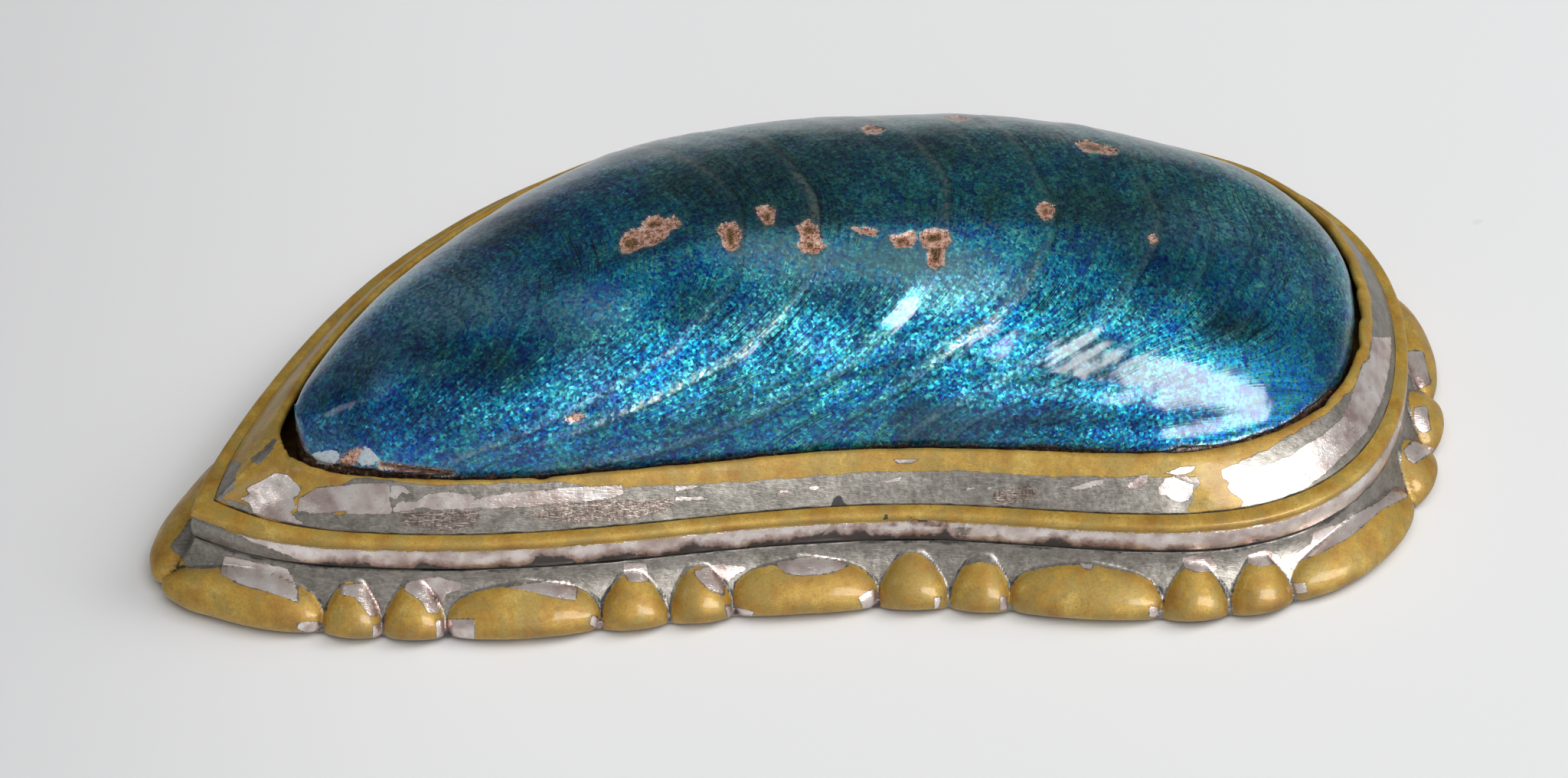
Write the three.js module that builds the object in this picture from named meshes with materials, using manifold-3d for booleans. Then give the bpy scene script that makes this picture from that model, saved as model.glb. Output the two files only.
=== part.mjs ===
// Mussel-shell snuff box: an enamelled copper shell held in a hinged metal cover,
// over a shallow tray with a lobed border. Millimetres, +Z up, long side on X,
// tip of the shell towards -X, hinge on the +Y side. Origin: centre of the
// underside.
import * as THREE from 'three';
import { mergeVertices } from 'three/addons/utils/BufferGeometryUtils.js';
import Module from 'manifold-3d';

// ---------------------------------------------------------------- dimensions
const OFFSET_X = -1.314;        // moves the plan so the outer box is centred
const OFFSET_Y = -5.375;
const PLATE_T = 0.6;          // base plate thickness
const PLATE_OUT = 1.85;       // reach of the base plate past the ledge
const BORDER_Z0 = 0.7;        // underside of the lobed border, over the plate
const LOBE_Z0 = 0.05;         // lower edge of the lobes, round the plate's edge
const BORDER_Z1 = 4.1;        // top of the lobed border, the opening line
const FRAME_Z0 = 4.3;         // underside of the cover frame
const FRAME_Z1 = 6.7;         // top of the cover frame behind its bead
const COLLAR_Z0 = 6.8;        // foot of the sloping collar
const COLLAR_Z1 = 9.9;        // lip of the sloping collar
const GORGE_Z1 = 5.9;         // top of the upstanding inner rim of the tray
const BEARER_Z1 = 7.9;        // the shell's edge stands just over this level
const SHELL_Z0 = 8.0;         // lower edge of the shell
const SHELL_RIM_Z = 9.4;      // level where the dome springs from its edge
const SHELL_WALL = 1.0;
const CREST = 11.2;           // height of the dome over its rim
const HINGE_X = 8.5;          // centre of the hinge along the back
const HINGE_Y = 27.3;         // hinge axis, behind the cover's band
const HINGE_Z = 4.2;
const HINGE_LENGTH = 15.0;
const KNUCKLE_R = 1.2;
const KNUCKLE_BORE = 0.8;
const PIN_R = 0.5;
const KNUCKLE_GAP = 0.3;
const LEAF_Y0 = 24.2;         // inner edge of both joint plates
const LEAF_Y1 = 25.85;        // outer edge of both joint plates
const LEAF_T = 0.5;
const CUT = 0.3;              // clearance round the let-in joint plates
const LOBE_OUT = 2.9;         // reach of a lobe past the ledge
const GROOVE_OUT = 2.1;       // reach of the groove between two lobes

// Stations round the outline, counter-clockwise from the pointed tip:
// distance along the ledge, then x and y of the ledge, the aperture that the
// shell shows through, and the outer reach of the lobes.
const STATIONS = [
  [0.00, -38.50, -12.00, -32.82, -9.05, -41.55, -13.35],
  [1.20, -37.44, -12.55, -32.69, -9.35, -39.40, -15.00],
  [2.60, -36.17, -13.15, -32.48, -9.71, -37.32, -15.81],
  [4.20, -34.68, -13.72, -32.14, -10.17, -35.59, -16.47],
  [6.20, -32.75, -14.24, -31.44, -10.82, -33.37, -17.07],
  [8.80, -30.19, -14.66, -29.83, -11.65, -30.54, -17.54],
  [12.40, -26.61, -14.95, -26.47, -12.27, -26.75, -17.85],
  [16.85, -22.15, -15.06, -22.16, -12.53, -22.15, -17.96],
  [21.31, -17.70, -14.92, -17.87, -12.43, -17.52, -17.81],
  [25.76, -13.27, -14.52, -13.54, -12.05, -12.95, -17.40],
  [30.22, -8.85, -13.97, -9.18, -11.53, -8.45, -16.84],
  [34.67, -4.44, -13.33, -4.78, -10.92, -4.03, -16.20],
  [39.12, -0.02, -12.79, -0.28, -10.28, 0.27, -15.67],
  [43.58, 4.42, -12.43, 4.27, -9.80, 4.59, -15.33],
  [48.03, 8.87, -12.31, 8.91, -9.64, 8.83, -15.21],
  [52.49, 13.32, -12.55, 13.55, -9.75, 13.07, -15.44],
  [56.94, 17.75, -12.97, 18.03, -9.97, 17.48, -15.85],
  [61.40, 22.19, -13.32, 22.37, -10.14, 22.03, -16.21],
  [65.85, 26.64, -13.34, 26.44, -9.94, 26.81, -16.24],
  [70.30, 31.02, -12.64, 30.00, -9.07, 31.81, -15.43],
  [74.76, 35.04, -10.81, 32.91, -7.61, 36.65, -13.23],
  [79.21, 38.24, -7.77, 35.27, -5.58, 40.57, -9.49],
  [83.67, 40.28, -3.85, 37.18, -2.74, 43.02, -4.82],
  [88.12, 41.31, 0.47, 38.20, 0.90, 44.18, 0.07],
  [92.57, 41.57, 4.91, 38.47, 4.84, 44.47, 4.97],
  [97.03, 41.05, 9.32, 37.96, 8.61, 43.87, 9.97],
  [101.48, 39.51, 13.47, 36.76, 12.02, 42.08, 14.83],
  [105.94, 36.97, 17.10, 34.72, 14.94, 39.13, 19.04],
  [110.39, 33.68, 19.85, 31.94, 17.33, 35.41, 22.31],
  [114.84, 29.89, 21.78, 28.57, 19.00, 31.19, 24.51],
  [119.30, 25.78, 23.15, 24.80, 20.23, 26.71, 25.94],
  [123.75, 21.49, 24.41, 20.85, 21.47, 22.12, 27.23],
  [128.21, 17.11, 25.26, 16.72, 22.27, 17.48, 28.13],
  [132.66, 12.67, 25.68, 12.50, 22.67, 12.84, 28.58],
  [137.11, 8.22, 25.80, 8.23, 22.81, 8.22, 28.70],
  [141.57, 3.77, 25.65, 3.98, 22.65, 3.58, 28.55],
  [146.02, -0.65, 25.28, -0.18, 22.21, -1.10, 28.17],
  [150.48, -5.01, 24.64, -4.21, 21.53, -5.75, 27.49],
  [154.93, -9.24, 23.60, -8.09, 20.51, -10.28, 26.34],
  [159.39, -13.31, 21.88, -11.81, 18.93, -14.62, 24.47],
  [163.84, -17.17, 19.67, -15.35, 16.84, -18.74, 22.11],
  [168.29, -20.79, 17.08, -18.66, 14.40, -22.59, 19.35],
  [172.75, -24.14, 14.14, -21.74, 11.65, -26.15, 16.23],
  [177.20, -27.19, 10.90, -24.56, 8.68, -29.40, 12.78],
  [181.66, -29.87, 7.35, -27.06, 5.47, -32.27, 8.96],
  [186.11, -32.19, 3.55, -29.29, 1.92, -34.71, 4.97],
  [190.56, -34.25, -0.39, -31.20, -1.88, -36.86, 0.88],
  [194.16, -35.76, -3.66, -32.42, -5.07, -38.60, -2.60],
  [196.76, -36.75, -6.07, -32.93, -6.82, -39.85, -5.15],
  [198.76, -37.45, -7.94, -33.05, -7.77, -40.85, -7.20],
  [200.36, -37.91, -9.47, -33.01, -8.34, -41.50, -9.05],
  [201.76, -38.25, -10.83, -32.92, -8.75, -41.85, -11.05]
];
const LENGTH = 202.96;        // whole way round the ledge
const PITCH_LIP = 3.0;        // ledge to aperture, in profile units

// Where one lobe ends and the next starts, as distance along the ledge. A long
// lobe is followed by two short ones; a long lobe lies on each side of the tip.
const LOBES = [
  0, 9.1, 13.0, 17.1, 26.8, 31.4, 35.6, 45.2, 50.1, 54.2, 63.9, 68.1, 72.0,
  82.7, 87.3, 91.9, 101.4, 105.9, 110.5, 121.1, 126.0, 130.9, 141.5, 146.4,
  151.3, 161.9, 166.8, 171.7, 182.3, 187.2, 192.1, 202.96,
];

// ---------------------------------------------------------------- curves
// Cubic curve through a table column pair; the ledge keeps its corner at the
// tip, the aperture and the lobes' reach run smoothly round it.
function curve(col, corner) {
  const s = STATIONS.map((r) => r[0]).concat([LENGTH]);
  const p = STATIONS.map((r) => [r[col], r[col + 1]]);
  p.push(p[0]);
  const n = s.length - 1;
  const slope = (i, j) => [0, 1].map((k) => (p[j][k] - p[i][k]) / (s[j] - s[i]));
  const m = [];
  for (let i = 0; i <= n; i++) {
    if (i > 0 && i < n) {
      const a = slope(i - 1, i), b = slope(i, i + 1);
      const h0 = s[i] - s[i - 1], h1 = s[i + 1] - s[i];
      m.push([0, 1].map((k) => (a[k] * h1 + b[k] * h0) / (h0 + h1)));
    } else if (corner) {
      m.push(i === 0 ? slope(0, 1) : slope(n - 1, n));
    } else {
      const a = slope(n - 1, n), b = slope(0, 1);
      const h0 = s[n] - s[n - 1], h1 = s[1] - s[0];
      m.push([0, 1].map((k) => (a[k] * h1 + b[k] * h0) / (h0 + h1)));
    }
  }
  return (t) => {
    t = ((t % LENGTH) + LENGTH) % LENGTH;
    let i = 0;
    while (i < n - 1 && s[i + 1] <= t) i++;
    const h = s[i + 1] - s[i], u = (t - s[i]) / h;
    const a = 2 * u ** 3 - 3 * u ** 2 + 1, b = u ** 3 - 2 * u ** 2 + u;
    const c = -2 * u ** 3 + 3 * u ** 2, d = u ** 3 - u ** 2;
    return [0, 1].map((k) => a * p[i][k] + b * h * m[i][k] + c * p[i + 1][k] + d * h * m[i + 1][k]);
  };
}
const ledge = curve(1, true), aperture = curve(3, false), reach = curve(5, false);

// Plan position at distance t round the outline and profile position p:
// p = 0 is the ledge, +2.9 the lobes' reach, -3 the aperture, further in
// measured square to the aperture.
function plan(t, p) {
  const a = ledge(t);
  if (p >= 0) {
    const b = reach(t);
    return [a[0] + (b[0] - a[0]) * p / LOBE_OUT, a[1] + (b[1] - a[1]) * p / LOBE_OUT];
  }
  const b = aperture(t);
  if (p >= -PITCH_LIP) {
    const f = -p / PITCH_LIP;
    return [a[0] + (b[0] - a[0]) * f, a[1] + (b[1] - a[1]) * f];
  }
  const b0 = aperture(t - 0.4), b1 = aperture(t + 0.4);
  const dx = b1[0] - b0[0], dy = b1[1] - b0[1], l = Math.hypot(dx, dy);
  const e = -p - PITCH_LIP;
  return [b[0] - dy / l * e, b[1] + dx / l * e];
}

// ---------------------------------------------------------------- solids
function closed(points, faces) {
  let vol = 0;
  for (const [a, b, c] of faces) {
    const A = points[a], B = points[b], C = points[c];
    vol += A[0] * (B[1] * C[2] - B[2] * C[1]) - A[1] * (B[0] * C[2] - B[2] * C[0]) + A[2] * (B[0] * C[1] - B[1] * C[0]);
  }
  const g = new THREE.BufferGeometry();
  const pos = new Float32Array(points.length * 3);
  points.forEach((q, i) => { pos[3 * i] = q[0] + OFFSET_X; pos[3 * i + 1] = q[1] + OFFSET_Y; pos[3 * i + 2] = q[2]; });
  g.setAttribute('position', new THREE.BufferAttribute(pos, 3));
  g.setIndex(faces.flatMap(([a, b, c]) => (vol > 0 ? [a, b, c] : [a, c, b])));
  return g;
}

// A ring with a closed profile, swept round the outline.
function ringSolid(stops, profile) {
  const points = [], faces = [];
  let k = 0;
  stops.forEach((t) => {
    const pr = profile(t);
    k = pr.length;
    pr.forEach(([p, z]) => { const q = plan(t, p); points.push([q[0], q[1], z]); });
  });
  const n = stops.length;
  for (let i = 0; i < n; i++) {
    const i2 = (i + 1) % n;
    for (let j = 0; j < k; j++) {
      const j2 = (j + 1) % k;
      const a = i * k + j, b = i2 * k + j, c = i2 * k + j2, d = i * k + j2;
      faces.push([a, b, c], [a, c, d]);
    }
  }
  return closed(points, faces);
}

function evenStops(n) {
  return Array.from({ length: n }, (_, i) => i * LENGTH / n);
}

// ---------------------------------------------------------------- dome
// Ridge of the shell: x, y of the ridge, height over the rim.
const RIDGE = [
  [-33.0, -8.8, 0.0], [-32.5, -8.8, 1.6], [-31.5, -8.6, 2.8], [-30.0, -8.3, 3.9],
  [-28.0, -7.7, 5.0], [-25.0, -6.5, 6.25], [-21.0, -4.6, 7.6], [-16.0, -2.4, 9.0],
  [-10.0, -0.3, 10.2], [-4.0, 1.2, 10.9], [2.0, 2.0, CREST], [8.0, 2.6, CREST],
  [14.0, 3.1, 10.9], [20.0, 3.5, 10.2], [26.0, 3.9, 8.9], [31.0, 4.2, 7.0],
  [34.5, 4.35, 4.8], [36.5, 4.4, 3.1], [37.6, 4.4, 1.7], [38.1, 4.4, 0.0],
];
function ridgeAt(x, col) {
  if (x <= RIDGE[0][0]) return RIDGE[0][col];
  for (let i = 1; i < RIDGE.length; i++) {
    if (x <= RIDGE[i][0]) {
      const f = (x - RIDGE[i - 1][0]) / (RIDGE[i][0] - RIDGE[i - 1][0]);
      return RIDGE[i - 1][col] + (RIDGE[i][col] - RIDGE[i - 1][col]) * f;
    }
  }
  return RIDGE[RIDGE.length - 1][col];
}
const SHELL_EDGE = -3.5;      // profile position of the shell's outer edge
const rimLine = evenStops(800).map((t) => plan(t, SHELL_EDGE));
function rimYs(x) {
  let lo = Infinity, hi = -Infinity;
  for (let i = 0; i < rimLine.length; i++) {
    const a = rimLine[i], b = rimLine[(i + 1) % rimLine.length];
    if ((a[0] - x) * (b[0] - x) <= 0 && a[0] !== b[0]) {
      const y = a[1] + (b[1] - a[1]) * (x - a[0]) / (b[0] - a[0]);
      lo = Math.min(lo, y); hi = Math.max(hi, y);
    }
  }
  return [lo, hi];
}
// How full the back of the dome is, by x.
const FULLNESS = [[-24, 2.85], [-12, 2.75], [-7, 2.42], [24, 2.36], [30, 2.42]];
function backFullness(x) {
  if (x <= FULLNESS[0][0]) return FULLNESS[0][1];
  for (let i = 1; i < FULLNESS.length; i++) {
    if (x <= FULLNESS[i][0]) {
      const f = (x - FULLNESS[i - 1][0]) / (FULLNESS[i][0] - FULLNESS[i - 1][0]);
      return FULLNESS[i - 1][1] + (FULLNESS[i][1] - FULLNESS[i - 1][1]) * f;
    }
  }
  return FULLNESS[FULLNESS.length - 1][1];
}
// Steep and full towards the front, a long even slope down to the back.
function domeHeight(x, y) {
  const [lo, hi] = rimYs(x);
  if (!(hi > lo)) return 0;
  const r = Math.min(Math.max(ridgeAt(x, 1), lo + 0.1), hi - 0.1), h = ridgeAt(x, 2);
  if (y > r) return h * (1 - Math.min(1, (y - r) / (hi - r)) ** backFullness(x));
  return h * (1 - Math.min(1, (r - y) / (r - lo)) ** 2.3) ** (1 / 1.75);
}

function shellSolid() {
  const stops = evenStops(66);
  const radii = [0.985, 0.94, 0.86, 0.74, 0.58, 0.4, 0.2];
  const points = [], faces = [], rows = [];
  const centreOf = (q) => { const x = Math.max(-24, Math.min(30, 3 + (q[0] - 3) * 0.7)); return [x, ridgeAt(x, 1)]; };
  const row = (fn) => { const base = points.length; stops.forEach((t) => points.push(fn(t))); rows.push(base); };
  const outer = (r) => (t) => {
    const q = plan(t, SHELL_EDGE), c = centreOf(q);
    const x = c[0] + (q[0] - c[0]) * r, y = c[1] + (q[1] - c[1]) * r;
    return [x, y, SHELL_RIM_Z + domeHeight(x, y)];
  };
  const inner = (r) => (t) => {
    const q = plan(t, SHELL_EDGE), w = plan(t, SHELL_EDGE - SHELL_WALL), c = centreOf(q);
    const x = c[0] + (q[0] - c[0]) * r, y = c[1] + (q[1] - c[1]) * r;
    const u = c[0] + (w[0] - c[0]) * r, v = c[1] + (w[1] - c[1]) * r;
    return [u, v, SHELL_RIM_Z - 0.25 + domeHeight(x, y) * 0.93 - 0.15 * (1 - r)];
  };
  [0.2, 0.4, 0.58, 0.74, 0.86, 0.94, 0.985].forEach((r) => row(outer(r)));
  row((t) => [...plan(t, SHELL_EDGE), SHELL_RIM_Z]);
  row((t) => [...plan(t, SHELL_EDGE), SHELL_Z0]);
  row((t) => [...plan(t, SHELL_EDGE - SHELL_WALL), SHELL_Z0]);
  row((t) => [...plan(t, SHELL_EDGE - SHELL_WALL), SHELL_RIM_Z - 0.25]);
  [0.94, 0.82, 0.66, 0.45, 0.22].forEach((r) => row(inner(r)));
  const n = stops.length;
  for (let k = 0; k < rows.length - 1; k++) {
    for (let i = 0; i < n; i++) {
      const i2 = (i + 1) % n;
      const a = rows[k] + i, b = rows[k] + i2, c = rows[k + 1] + i2, d = rows[k + 1] + i;
      faces.push([a, d, c], [a, c, b]);
    }
  }
  const top = points.length;
  points.push([3, ridgeAt(3, 1), SHELL_RIM_Z + ridgeAt(3, 2)]);
  const under = points.length;
  points.push([3, ridgeAt(3, 1), SHELL_RIM_Z - 0.4 + ridgeAt(3, 2) * 0.93]);
  const last = rows[rows.length - 1];
  for (let i = 0; i < n; i++) {
    const i2 = (i + 1) % n;
    faces.push([top, rows[0] + i, rows[0] + i2]);
    faces.push([under, last + i2, last + i]);
  }
  return closed(points, faces);
}

function plateSolid() {
  const stops = evenStops(66);
  const points = [], faces = [];
  const n = stops.length;
  const bevel = 0.12;
  [[PLATE_OUT - bevel, 0], [PLATE_OUT, bevel], [PLATE_OUT, PLATE_T - bevel], [PLATE_OUT - bevel, PLATE_T]].forEach(([p, z]) => stops.forEach((t) => points.push([...plan(t, p), z])));
  for (let k = 0; k < 3; k++) for (let i = 0; i < n; i++) {
    const i2 = (i + 1) % n;
    faces.push([k * n + i, k * n + i2, (k + 1) * n + i2], [k * n + i, (k + 1) * n + i2, (k + 1) * n + i]);
  }
  const low = points.length, high = low + 1;
  points.push([2, 4, 0], [2, 4, PLATE_T]);
  for (let i = 0; i < n; i++) {
    const i2 = (i + 1) % n;
    faces.push([low, i2, i], [high, 3 * n + i, 3 * n + i2]);
  }
  return closed(points, faces);
}

// Lobed border: a concave skirt falling from the ledge, full lobes standing on
// it and grooves between them that run out nearly as far. Under the hinge
// barrel the lobes start lower down, so that it turns free of them.
const GROOVE = [[0, 3.9], [0.25, 3.25], [0.7, 2.5], [1.25, 1.75], [1.8, 0.95], [GROOVE_OUT, 0.5], [GROOVE_OUT, LOBE_Z0]];
const LOBE = [[0.08, 3.85], [0.4, 3.35], [1.2, 2.95], [2.1, 2.3], [2.75, 1.5], [LOBE_OUT, 0.9], [2.5, LOBE_Z0]];
const LOW_LOBE = [[0, 3.9], [0.27, 3.2], [0.85, 2.7], [1.85, 2.35], [2.65, 1.7], [LOBE_OUT, 1.05], [2.5, LOBE_Z0]];
const HINGE_S0 = 124, HINGE_S1 = 148;
function borderSolid() {
  const stops = [], bulge = [];
  for (let i = 0; i < LOBES.length - 1; i++) {
    const w = LOBES[i + 1] - LOBES[i], n = i === 0 || i === LOBES.length - 2 ? 12 : w > 7 ? 7 : 4;
    for (let j = 0; j < n; j++) {
      const u = j / n;
      stops.push(LOBES[i] + w * u);
      const tip = (i === 0 && u < 0.5) || (i === LOBES.length - 2 && u > 0.5);
      bulge.push(Math.min(1, (1 - Math.abs(2 * u - 1) ** (tip ? 9 : w > 7 ? 3.4 : 2.4)) ** 0.6));
    }
  }
  const at = new Map(stops.map((t, i) => [t, bulge[i]]));
  return ringSolid(stops, (t) => {
    const b = at.get(t), full = t > HINGE_S0 && t < HINGE_S1 ? LOW_LOBE : LOBE;
    const side = GROOVE.map((g, i) => [g[0] + (full[i][0] - g[0]) * b, g[1] + (full[i][1] - g[1]) * b]);
    return [[-2.6, BORDER_Z1], [-0.3, BORDER_Z1], ...side, [2.0, LOBE_Z0], [2.0, BORDER_Z0], [-2.6, BORDER_Z0]];
  });
}

function box(x0, x1, y0, y1, z0, z1) {
  const g = new THREE.BoxGeometry(x1 - x0, y1 - y0, z1 - z0);
  g.translate((x0 + x1) / 2 + OFFSET_X, (y0 + y1) / 2 + OFFSET_Y, (z0 + z1) / 2);
  return g;
}

function knuckle(index) {
  const w = (HINGE_LENGTH - 4 * KNUCKLE_GAP) / 5;
  const x0 = HINGE_X - HINGE_LENGTH / 2 + index * (w + KNUCKLE_GAP);
  const c = 0.12;
  const prof = [[KNUCKLE_BORE, 0], [KNUCKLE_R - c, 0], [KNUCKLE_R, c], [KNUCKLE_R, w - c], [KNUCKLE_R - c, w], [KNUCKLE_BORE, w], [KNUCKLE_BORE, 0]];
  const g = new THREE.LatheGeometry(prof.map(([r, h]) => new THREE.Vector2(r, h)), 20);
  g.rotateZ(-Math.PI / 2);
  g.translate(x0 + OFFSET_X, HINGE_Y + OFFSET_Y, HINGE_Z);
  return g;
}

function pin() {
  const l = HINGE_LENGTH + 0.5;
  const prof = [[0, 0], [PIN_R - 0.12, 0], [PIN_R, 0.12], [PIN_R, l - 0.12], [PIN_R - 0.12, l], [0, l]];
  const g = new THREE.LatheGeometry(prof.map(([r, h]) => new THREE.Vector2(r, h)), 16);
  g.rotateZ(-Math.PI / 2);
  g.translate(HINGE_X - l / 2 + OFFSET_X, HINGE_Y + OFFSET_Y, HINGE_Z);
  return g;
}

// ---------------------------------------------------------------- cutting
const wasm = await Module();
wasm.setup();
function solidOf(geometry) {
  let g = geometry.clone();
  g.deleteAttribute('normal');
  g.deleteAttribute('uv');
  g = mergeVertices(g, 1e-4);
  return new wasm.Manifold(new wasm.Mesh({
    numProp: 3,
    vertProperties: new Float32Array(g.attributes.position.array),
    triVerts: new Uint32Array(g.index.array),
  }));
}
function geometryOf(solid) {
  const m = solid.getMesh();
  const g = new THREE.BufferGeometry();
  g.setAttribute('position', new THREE.BufferAttribute(new Float32Array(m.vertProperties), 3));
  g.setIndex(Array.from(m.triVerts));
  return g;
}
const hx0 = HINGE_X - HINGE_LENGTH / 2, hx1 = HINGE_X + HINGE_LENGTH / 2;

// ---------------------------------------------------------------- materials
const enamel = new THREE.MeshStandardMaterial({ color: 0x12586f, roughness: 0.12, metalness: 0.35 });
const brass = new THREE.MeshStandardMaterial({ color: 0x9a7a35, roughness: 0.35, metalness: 1.0 });
const plated = new THREE.MeshStandardMaterial({ color: 0x8d8880, roughness: 0.4, metalness: 1.0 });
const copper = new THREE.MeshStandardMaterial({ color: 0x8a5238, roughness: 0.5, metalness: 1.0 });
const steel = new THREE.MeshStandardMaterial({ color: 0x6f6c66, roughness: 0.4, metalness: 1.0 });

const snuffBox = new THREE.Group();
function add(name, geometry, material) {
  const m = new THREE.Mesh(geometry, material);
  m.name = name;
  snuffBox.add(m);
}

// ---------------------------------------------------------------- cover
add('enamelled_shell', shellSolid(), enamel);
add('shell_bearer', ringSolid(evenStops(66), () => [
  [-1.9, COLLAR_Z0], [-2.65, BEARER_Z1], [-4.4, BEARER_Z1], [-4.4, 7.4], [-2.9, COLLAR_Z0],
]), copper);
add('bezel_collar', ringSolid(evenStops(72), () => [
  [-0.7, COLLAR_Z0], [-1.7, 8.3], [-2.6, 9.6], [-2.95, COLLAR_Z1], [-3.2, 9.75], [-3.15, 9.2], [-1.45, COLLAR_Z0],
]), plated);
const frameRing = ringSolid(evenStops(72), () => [
  [-2.6, FRAME_Z0], [-0.35, FRAME_Z0], [-0.1, 4.55], [-0.12, 5.7], [-0.2, 6.05],
  [0, 6.2], [0, 6.45], [-0.3, FRAME_Z1], [-2.6, FRAME_Z1],
]);
add('cover_frame', geometryOf(solidOf(frameRing).subtract(
  solidOf(box(hx0 - CUT, hx1 + CUT, LEAF_Y0 - CUT, 30, FRAME_Z0 - 1, FRAME_Z0 + LEAF_T + CUT)))), plated);
add('cover_joint_plate', box(hx0, hx1, LEAF_Y0, LEAF_Y1, FRAME_Z0, FRAME_Z0 + LEAF_T), brass);
add('cover_knuckle_left', knuckle(1), brass);
add('cover_knuckle_right', knuckle(3), brass);

// ---------------------------------------------------------------- base
add('base_border', geometryOf(solidOf(borderSolid()).subtract(
  solidOf(box(hx0 - CUT, hx1 + CUT, LEAF_Y0 - CUT, 30, BORDER_Z1 - LEAF_T - CUT, BORDER_Z1 + 1)))), plated);
add('base_gorge', ringSolid(evenStops(66), () => [
  [-2.9, BORDER_Z0], [-2.9, GORGE_Z1 - 0.2], [-3.05, GORGE_Z1], [-3.3, GORGE_Z1], [-3.45, GORGE_Z1 - 0.2], [-3.45, BORDER_Z0],
]), brass);
add('base_plate', plateSolid(), brass);
add('base_joint_plate', box(hx0, hx1, LEAF_Y0, LEAF_Y1, BORDER_Z1 - LEAF_T, BORDER_Z1), brass);
add('base_knuckle_left', knuckle(0), brass);
add('base_knuckle_middle', knuckle(2), brass);
add('base_knuckle_right', knuckle(4), brass);
add('hinge_pin', pin(), steel);

export default snuffBox;
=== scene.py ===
import bpy
import math
import numpy as np
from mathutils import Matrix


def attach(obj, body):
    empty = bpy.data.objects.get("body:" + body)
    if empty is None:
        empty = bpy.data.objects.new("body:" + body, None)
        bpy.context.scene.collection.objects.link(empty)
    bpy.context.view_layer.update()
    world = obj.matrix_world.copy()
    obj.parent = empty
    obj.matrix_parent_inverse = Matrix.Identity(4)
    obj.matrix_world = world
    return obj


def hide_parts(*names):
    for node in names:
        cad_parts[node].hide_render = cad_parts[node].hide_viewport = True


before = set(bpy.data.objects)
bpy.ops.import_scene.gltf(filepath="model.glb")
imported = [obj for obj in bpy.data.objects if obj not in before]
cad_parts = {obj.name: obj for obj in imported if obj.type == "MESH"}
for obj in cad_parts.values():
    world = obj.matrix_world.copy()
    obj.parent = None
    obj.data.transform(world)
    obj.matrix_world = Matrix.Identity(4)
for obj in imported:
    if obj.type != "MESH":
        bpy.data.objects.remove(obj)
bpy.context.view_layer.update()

SEED = 20260
OFF = np.array([-1.314, -5.375, 0.0])

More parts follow.
